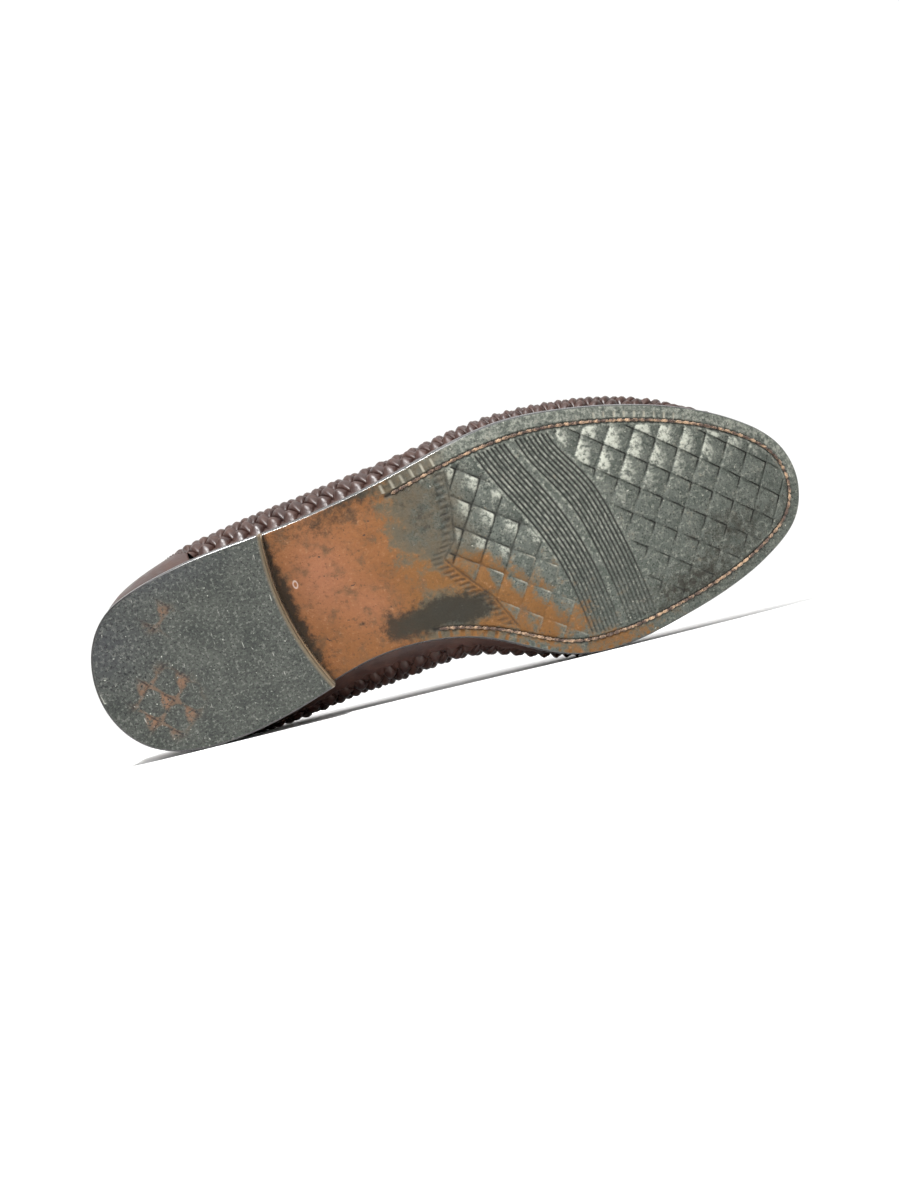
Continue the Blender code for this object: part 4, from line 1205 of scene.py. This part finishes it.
def kiltie_grid(chart, shares, stops, inset=0):
    """Columns and signed distances of a grid over the flap, from shares of its half width."""
    ks = np.linspace(THROAT_COLUMN, COLUMNS, 200)
    spine_x = chart.at(ks, np.zeros_like(ks))[:, 0]
    k = np.interp(KILTIE_BACK_X + stops, spine_x, ks)
    spread = (KILTIE_FRONT_HALF_WIDTH - KILTIE_BACK_HALF_WIDTH) * stops / KILTIE_LENGTH
    half = KILTIE_BACK_HALF_WIDTH + spread - inset
    return np.broadcast_to(k[:, None], (len(stops), len(shares))), half[:, None] * shares


def make_kiltie(chart, material):
    """Fringed flap: a whole yoke and nine strips that curl up a little at their tips."""
    stops = [np.linspace(0, KILTIE_YOKE, 33), np.linspace(KILTIE_YOKE, KILTIE_LENGTH, 41)[1:]]
    stops = np.concatenate(stops)
    slit = KILTIE_SLIT / 2
    middle = np.linspace(slit + 0.12, 1 - slit - 0.12, 7)
    inside = np.concatenate([[slit, slit + 0.03], middle, [0.97 - slit, 1 - slit]])
    shares = np.concatenate([inside + strip for strip in range(KILTIE_STRIPS)]) / KILTIE_STRIPS * 2 - 1
    k, distance = kiltie_grid(chart, shares, stops)
    beyond = np.clip(stops - KILTIE_YOKE, 0, None) / KILTIE_FRINGE
    strip = np.arange(len(shares)) // len(inside)
    generator = np.random.default_rng(SEED)
    curl = KILTIE_TIP_LIFT + generator.uniform(-0.4, 0.9, KILTIE_STRIPS)
    rise = curl[strip] * beyond[:, None] ** 2
    within = np.tile(inside, KILTIE_STRIPS)
    to_slit = np.minimum(within - slit, 1 - slit - within) * 2 * KILTIE_FRONT_HALF_WIDTH / KILTIE_STRIPS
    open_here = ease(stops, KILTIE_YOKE - 2, KILTIE_YOKE)[:, None]
    round_edge = 0.35 * (1 - ease(to_slit, 0, 0.8)) * open_here
    tip = 0.35 * ease(stops, KILTIE_LENGTH - 0.9, KILTIE_LENGTH)[:, None]
    low = chart.at(k, distance, KILTIE_CLEARANCE + rise + 0.5 * round_edge)
    high = chart.at(k, distance, KILTIE_CLEARANCE + KILTIE_THICKNESS + rise - round_edge - tip)
    rows, columns = k.shape
    faces = []
    edges = {}
    total = rows * columns
    for row in range(rows - 1):
        for c in range(columns - 1):
            if stops[row] >= KILTIE_YOKE and strip[c] != strip[c + 1]:
                continue
            a, b = row * columns + c, row * columns + c + 1
            face = (a, b, b + columns, a + columns)
            faces.append(tuple(i + total for i in face))
            faces.append(face[::-1])
            for pair in zip(face, face[1:] + face[:1]):
                edges[pair] = True
    for a, b in edges:
        if (b, a) not in edges:
            faces.append((a, b, b + total, a + total))
    points = np.concatenate([low.reshape(-1, 3), high.reshape(-1, 3)])
    return make_piece("kiltie_fringe", points, faces, [material], ["kiltie"]), high


def covered_tree(points):
    """Search tree over a grid of points."""
    flat = points.reshape(-1, 3)
    tree = KDTree(len(flat))
    for i, point in enumerate(flat):
        tree.insert(Vector(point), i)
    tree.balance()
    return tree


def row_distance(chart, k, row):
    """Signed distance of a row from the ridge; the lateral rows follow the welt as far as the ball."""
    even = chart.read(chart.length, LATERAL, k) / (LATERAL_ROWS * ROW)
    fitted = ease(k, *LATERAL_FIT_STARTS) * (1 - ease(k, *LATERAL_FIT_ENDS))
    return row * ROW * np.where(row < 0, 1 + (even - 1) * fitted, 1)


def make_weave(chart, family, flap, material):
    """One family of slanting strips, passing over and under the other."""
    name, sign = family
    lanes = np.array([-1, -1, -0.55, 0, 0.55, 1, 1])
    lips = np.array([1, 0, 0, 0, 0, 0, 1])
    reach = int(Chart.REACH / ROW) + 1
    k_line = np.arange(COLUMNS * STRIP_STEPS + 1) / STRIP_STEPS
    grids = []
    for line in range(-reach, COLUMNS + reach + 1):
        if line % 2 == 0:
            continue
        row_line = (line - k_line) if sign > 0 else (k_line - line)
        keep = strip_inside(chart, k_line, row_distance(chart, k_line, row_line))
        for start, stop in runs_of(keep):
            k0 = k_line[start:stop, None]
            r0 = row_line[start:stop, None]
            offset = 0.5 * STRIP_FILL * lanes
            k = k0 + offset
            row = r0 + sign * offset
            phase = sign * np.cos(math.pi * r0)
            dome = STRIP_DOME * (0.7 + 0.3 * phase) * (1 - np.abs(lanes) ** 2)
            lift = np.maximum(STRIP_MIDDLE + STRIP_SWING * phase + dome - STRIP_LIP * lips, STRIP_LOWEST)
            grids.append((k, row_distance(chart, k, row), lift))
    points, faces, start = [], [], 0
    for k, distance, lift in grids:
        ground = chart.at(k, distance)
        free = strip_freedom(chart, k, distance)
        near = (k > THROAT_COLUMN - 6) & (k < COLUMNS)
        near &= np.abs(distance) < KILTIE_FRONT_HALF_WIDTH + 6
        for index in zip(*np.nonzero(near)):
            gap = flap.find(Vector(ground[index]))[2]
            free[index] *= ease(gap, 2.4, 5)
        held = STRIP_HELD + (1 - STRIP_HELD) * free
        placed = chart.at(k, distance, lift * held + crease(ground))
        points.append(placed.reshape(-1, 3))
        quads = grid_quads(*k.shape[:2])
        faces.append((quads if sign < 0 else quads[:, ::-1]) + start)
        start += k.size
    points, faces = np.concatenate(points), np.concatenate(faces)
    return make_piece(name, points, faces, [material], ["upper"], outward=False)


def runs_of(keep):
    """Start and stop of each run of true values that holds at least three."""
    padded = np.concatenate([[False], keep, [False]]).astype(int)
    starts = np.flatnonzero(np.diff(padded) == 1)
    stops = np.flatnonzero(np.diff(padded) == -1)
    return [(a, b) for a, b in zip(starts, stops) if b - a > 2]


def heights_up_wall(chart, k, distance):
    """Height above the welt, depth below the opening's edge and height of the plain leather there."""
    lateral = distance < 0
    away = np.abs(distance)

    def pick(values):
        return np.where(lateral, chart.read(values, LATERAL, k), chart.read(values, MEDIAL, k))

    return pick(chart.length) - away, away - pick(chart.top), overlay_height(pick(chart.foot), lateral)


def strip_inside(chart, k, distance):
    """Where a strip shows, or is tucked a little way under the plain leather."""
    up, below, cover = heights_up_wall(chart, k, distance)
    hidden = np.maximum(cover - TUCK, 0)
    opened = (k >= THROAT_COLUMN) | (below > 0.4)
    return (up > np.maximum(hidden, 0.3)) & opened


def strip_freedom(chart, k, distance):
    """1 where strips bulge freely, 0 where an edge, the welt or an overlay holds them down."""
    up, below, cover = heights_up_wall(chart, k, distance)
    free = ease(up - cover, 0.3, 3.2)
    return free * np.where(np.abs(k) < THROAT_COLUMN, ease(below, 0.5, 3.5), 1)


def make_shell(chart, outer_material, lining):
    """Backing under the weave, near black to paint the shade in the gaps between strips, and the lining
    inside, one hollow wall.
    """
    ks = np.concatenate([np.arange(0, COLUMNS + 1), np.arange(COLUMNS - 1, 0, -1)]).astype(float)
    side = np.array([LATERAL] * (COLUMNS + 1) + [MEDIAL] * (COLUMNS - 1))
    rows = np.linspace(0, 1, 31)
    layers = []
    for lift in (-0.15, -WALL):
        loop = []
        for k, s in zip(ks, side):
            length, top = chart.read(chart.length, s, k), chart.read(chart.top, s, k)
            distance = SIGNS[s] * (length + (top - length) * rows)
            ground = chart.at(np.full(len(rows), k), distance)
            loop.append(chart.at(np.full(len(rows), k), distance, lift + crease(ground)))
        layers.append(np.stack(loop))
    count, height = layers[0].shape[:2]
    outer = grid_quads(count, height, close_rows=True)
    inner = outer[:, ::-1] + count * height
    rim = []
    for c in range(count):
        after = (c + 1) % count
        low, low_next = c * height, after * height
        rim.append((low, low_next, low_next + count * height, low + count * height))
        if max(ks[c], ks[after]) <= THROAT_COLUMN:
            top, top_next = low + height - 1, low_next + height - 1
            rim.append((top_next, top, top + count * height, top_next + count * height))
    faces = outer.tolist() + inner.tolist() + rim
    kinds = [0] * len(outer) + [1] * len(inner) + [0] * len(rim)
    points = np.concatenate([layer.reshape(-1, 3) for layer in layers])
    materials = [outer_material, lining]
    return make_piece("upper_shell", points, faces, materials, ["upper"], None, kinds)


def make_overlay(name, node, chart, columns, table, teeth, material):
    """Plain leather overlay with a rounded upper edge, on a run of (side, column) places."""
    rows = np.concatenate([np.linspace(0, 0.9, 16), [0.94, 0.97, 0.99, 1]])
    loops = []
    for side, k in columns:
        top = float(read_table(table, chart.read(chart.foot, side, k)))
        if teeth:
            top -= TOOTH_DEPTH * abs((k / 2) % 1 * 2 - 1) ** 1.5
        up = OVERLAY_FOOT + (top - OVERLAY_FOOT) * rows
        edge = ease(top - up, 0, 1.1)
        high = OVERLAY_GAP + OVERLAY_THICKNESS * (0.35 + 0.65 * edge)
        ks = np.full(len(rows), k)
        outer = chart.from_welt(side, ks, up, high)
        inner = chart.from_welt(side, ks, up, OVERLAY_GAP)
        loops.append(np.concatenate([outer, inner[::-1]]))
    points = np.stack(loops)
    count, around = points.shape[:2]
    faces = grid_quads(count, around, close_columns=True).tolist()
    for end in (0, count - 1):
        start = end * around
        for j in range(len(rows) - 1):
            a, b = start + j, start + j + 1
            faces.append((a, b, start + around - 2 - j, start + around - 1 - j))
    return make_piece(name, points, faces, [material], [node])


def make_overlays(chart, material):
    """Counter round the heel, and a toothed band along each side in front of it."""
    front = float(np.interp(COUNTER_FRONT_X, chart.foot[LATERAL], chart.k))
    far = float(np.interp(BAND_FRONT_X, chart.foot[LATERAL], chart.k))
    step = 0.25
    back = [(MEDIAL, k) for k in np.arange(front, 0, -step)]
    counter = back + [(LATERAL, k) for k in np.arange(0, front + step / 2, step)]
    make_overlay("counter_plain", "counter", chart, counter, COUNTER_HEIGHT, False, material)
    low_band = [(COUNTER_FRONT_X, LATERAL_BAND_HEIGHT), (BAND_FRONT_X, LATERAL_BAND_HEIGHT)]
    for side, node, table in ((LATERAL, "band_lateral", low_band), (MEDIAL, "band_medial", BAND_HEIGHT)):
        columns = [(side, k) for k in np.arange(front + 0.08, far, step)]
        make_overlay(node + "_toothed", node, chart, columns, table, True, material)


def make_binding(chart, material):
    """Rolled bead on the edge of the opening."""
    ks = np.arange(0, THROAT_COLUMN + 0.01, 0.25)
    loop = [(LATERAL, k) for k in ks] + [(MEDIAL, k) for k in ks[-2:0:-1]]
    tops, outs = [], []
    for side, k in loop:
        distance = SIGNS[side] * chart.read(chart.top, side, k)
        tops.append(chart.at(k, distance))
        outs.append(chart.at(k, distance, 1) - tops[-1])
    tops, outs = np.array(tops), np.array(outs)
    along = unit(np.roll(tops, -1, axis=0) - np.roll(tops, 1, axis=0))
    up = unit(np.cross(outs, along))
    centre = tops - outs * WALL / 2 + up * (GAP + BINDING_HALF_HEIGHT - 0.6)
    turns = np.arange(14) * 2 * math.pi / 14
    reach = np.sin(turns)[:, None, None] * outs * BINDING_HALF_WIDTH
    rise = np.cos(turns)[:, None, None] * up * (BINDING_HALF_HEIGHT + 0.2)
    points = centre + reach + rise
    faces = grid_quads(*points.shape[:2], close_rows=True, close_columns=True)
    return make_piece("collar_bead", points, faces, [material], ["collar_binding"])


def seam(chart, places, lift, stitch=2.6, radius=0.32):
    """Short raised stitches along a line of (column, distance) places on the wall."""
    ks, distances = np.array(places, float).T
    line = chart.at(ks, distances, lift)
    ground = chart.at(ks, distances)
    run = run_along(line)
    grids = []
    for start in np.arange(0.4, run[-1] - stitch, stitch):
        at = start + np.linspace(0, 0.78, 6) * stitch
        path = follow(line, run, at)
        out = unit(path - follow(ground, run, at))
        bow = np.sin(np.linspace(0, math.pi, 6))
        grids.append(tube(path + out * (0.35 * bow - 0.18)[:, None], out, radius * (0.45 + 0.55 * bow), 6))
    return grids


def make_seams(chart, material):
    """Stitches along the counter's edge and round the flap's yoke."""
    front = float(np.interp(COUNTER_FRONT_X, chart.foot[LATERAL], chart.k))
    grids = []
    ks = np.arange(front, 0, -0.25)
    lift = OVERLAY_GAP + OVERLAY_THICKNESS
    for inset in COUNTER_SEAM_INSETS:
        for side in SIDES:
            top = read_table(COUNTER_HEIGHT, chart.read(chart.foot, side, ks))
            distance = SIGNS[side] * (chart.read(chart.length, side, ks) - top + inset)
            grids += seam(chart, np.column_stack([ks, distance]), lift)
    stops = np.linspace(KILTIE_SEAM_INSET, KILTIE_YOKE - 1.5, 40)
    k, distance = kiltie_grid(chart, np.array(SIGNS), stops, KILTIE_SEAM_INSET)
    for side in SIDES:
        places = np.column_stack([k[:, side], distance[:, side]])
        lift = KILTIE_CLEARANCE + KILTIE_THICKNESS
        grids += seam(chart, places, lift, KILTIE_STITCH, KILTIE_STITCH_RADIUS)
    points, faces = join_grids(grids)
    return make_piece("upper_seams", points, faces, [material])


def make_camera():
    """Camera with the photograph's place, turn and angle of view, carried along with the lying shoe."""
    right = unit(np.array(CAMERA_RIGHT))
    down = np.array(CAMERA_DOWN)
    down = unit(down - right * down.dot(right))
    forward = np.cross(right, down)
    axes = TURN @ np.stack([right, -down, -forward], axis=1)
    data = bpy.data.cameras.new("photo_camera")
    data.sensor_fit = "AUTO"
    data.sensor_width = SENSOR
    data.lens = SENSOR * FOCAL_PIXELS / max(PHOTO_WIDTH, PHOTO_HEIGHT)
    data.clip_start = NEAREST
    camera = add_object("photo_camera", data)
    place = Matrix(axes.tolist()).to_4x4()
    place.translation = Vector(TURN @ np.array(CAMERA_PLACE) * MM + ORIGIN)
    camera.matrix_world = place
    bpy.context.scene.camera = camera


def add_light(name, kind, place, target, power, **settings):
    data = bpy.data.lights.new(name, kind)
    data.energy = power
    for key, value in settings.items():
        setattr(data, key, value)
    light = add_object(name, data)
    light.location = place
    aim = Vector(target) - Vector(place)
    light.rotation_euler = aim.to_track_quat("-Z", "Y").to_euler()


def make_stage():
    """Pale round floor that curves up into a wall all round, soft light from above and a raking one."""
    profile = [(0, 0), (0.5, 0), (1, 0), (FLOOR_RADIUS, 0)]
    for step in range(1, 13):
        turn = step / 12 * math.pi / 2
        profile.append((FLOOR_RADIUS + COVE * math.sin(turn), COVE * (1 - math.cos(turn))))
    profile.append((FLOOR_RADIUS + COVE, WALL_TOP))
    turns = np.arange(64) * 2 * math.pi / 64
    points = [(r * math.cos(turn), r * math.sin(turn), z) for turn in turns for r, z in profile]
    mesh = bpy.data.meshes.new("floor")
    mesh.from_pydata(points, [], grid_quads(len(turns), len(profile), close_rows=True).tolist())
    clean(mesh, 1e-5, 1e-6)
    paper = bpy.data.materials.new("pale_paper")
    paper.use_nodes = True
    surface = paper.node_tree.nodes["Principled BSDF"]
    surface.inputs["Base Color"].default_value = (0.96, 0.96, 0.955, 1)
    surface.inputs["Roughness"].default_value = 0.9
    surface.inputs["Specular IOR Level"].default_value = 0.1
    mesh.materials.append(paper)
    floor = add_object("floor", mesh)
    world = bpy.data.worlds.new("studio")
    world.use_nodes = True
    background = world.node_tree.nodes["Background"]
    background.inputs["Color"].default_value = (1, 1, 1, 1)
    background.inputs["Strength"].default_value = 0.22
    bpy.context.scene.world = world
    bpy.context.scene.view_settings.view_transform = "Standard"
    sky = {"shape": "RECTANGLE", "size": 5, "size_y": 5}
    add_light("sky", "AREA", (0, 0.3, 3.4), (0, 0.3, 0), 112, **sky)
    panel = {"shape": "RECTANGLE", "size": 0.9, "size_y": 0.6}
    add_light("overhead", "AREA", (-0.15, -0.45, 1.15), (0, -0.05, 0.05), 3.5, **panel)
    beam = {"spot_size": math.radians(40), "spot_blend": 0.6, "shadow_soft_size": 0.06}
    add_light("rake", "SPOT", (-0.2, -0.33, 0.62), (0, -0.03, 0.06), 32, **beam)


def main():
    make_camera()
    make_stage()
    sole, edge = sole_material(), edge_material()
    strip, plain, shaded_backing, lining, sock = [leather_material(*row) for row in LEATHERS]
    make_outsoles([sole, edge])
    make_sole_stitches(thread_material("sole_thread", *SOLE_THREAD))
    make_heel(rubber_material(), heel_block_material())
    make_welt(edge)
    make_insole(sock)
    straight, draped = Chart(False), Chart(True)
    make_shell(straight, shaded_backing, lining)
    _, flap = make_kiltie(straight, plain)
    tree = covered_tree(flap)
    for family in (("weave_forward", 1), ("weave_back", -1)):
        make_weave(draped, family, tree, strip)
    make_overlays(straight, plain)
    make_binding(straight, plain)
    make_seams(straight, thread_material("seam_thread", *SEAM_THREAD))


main()
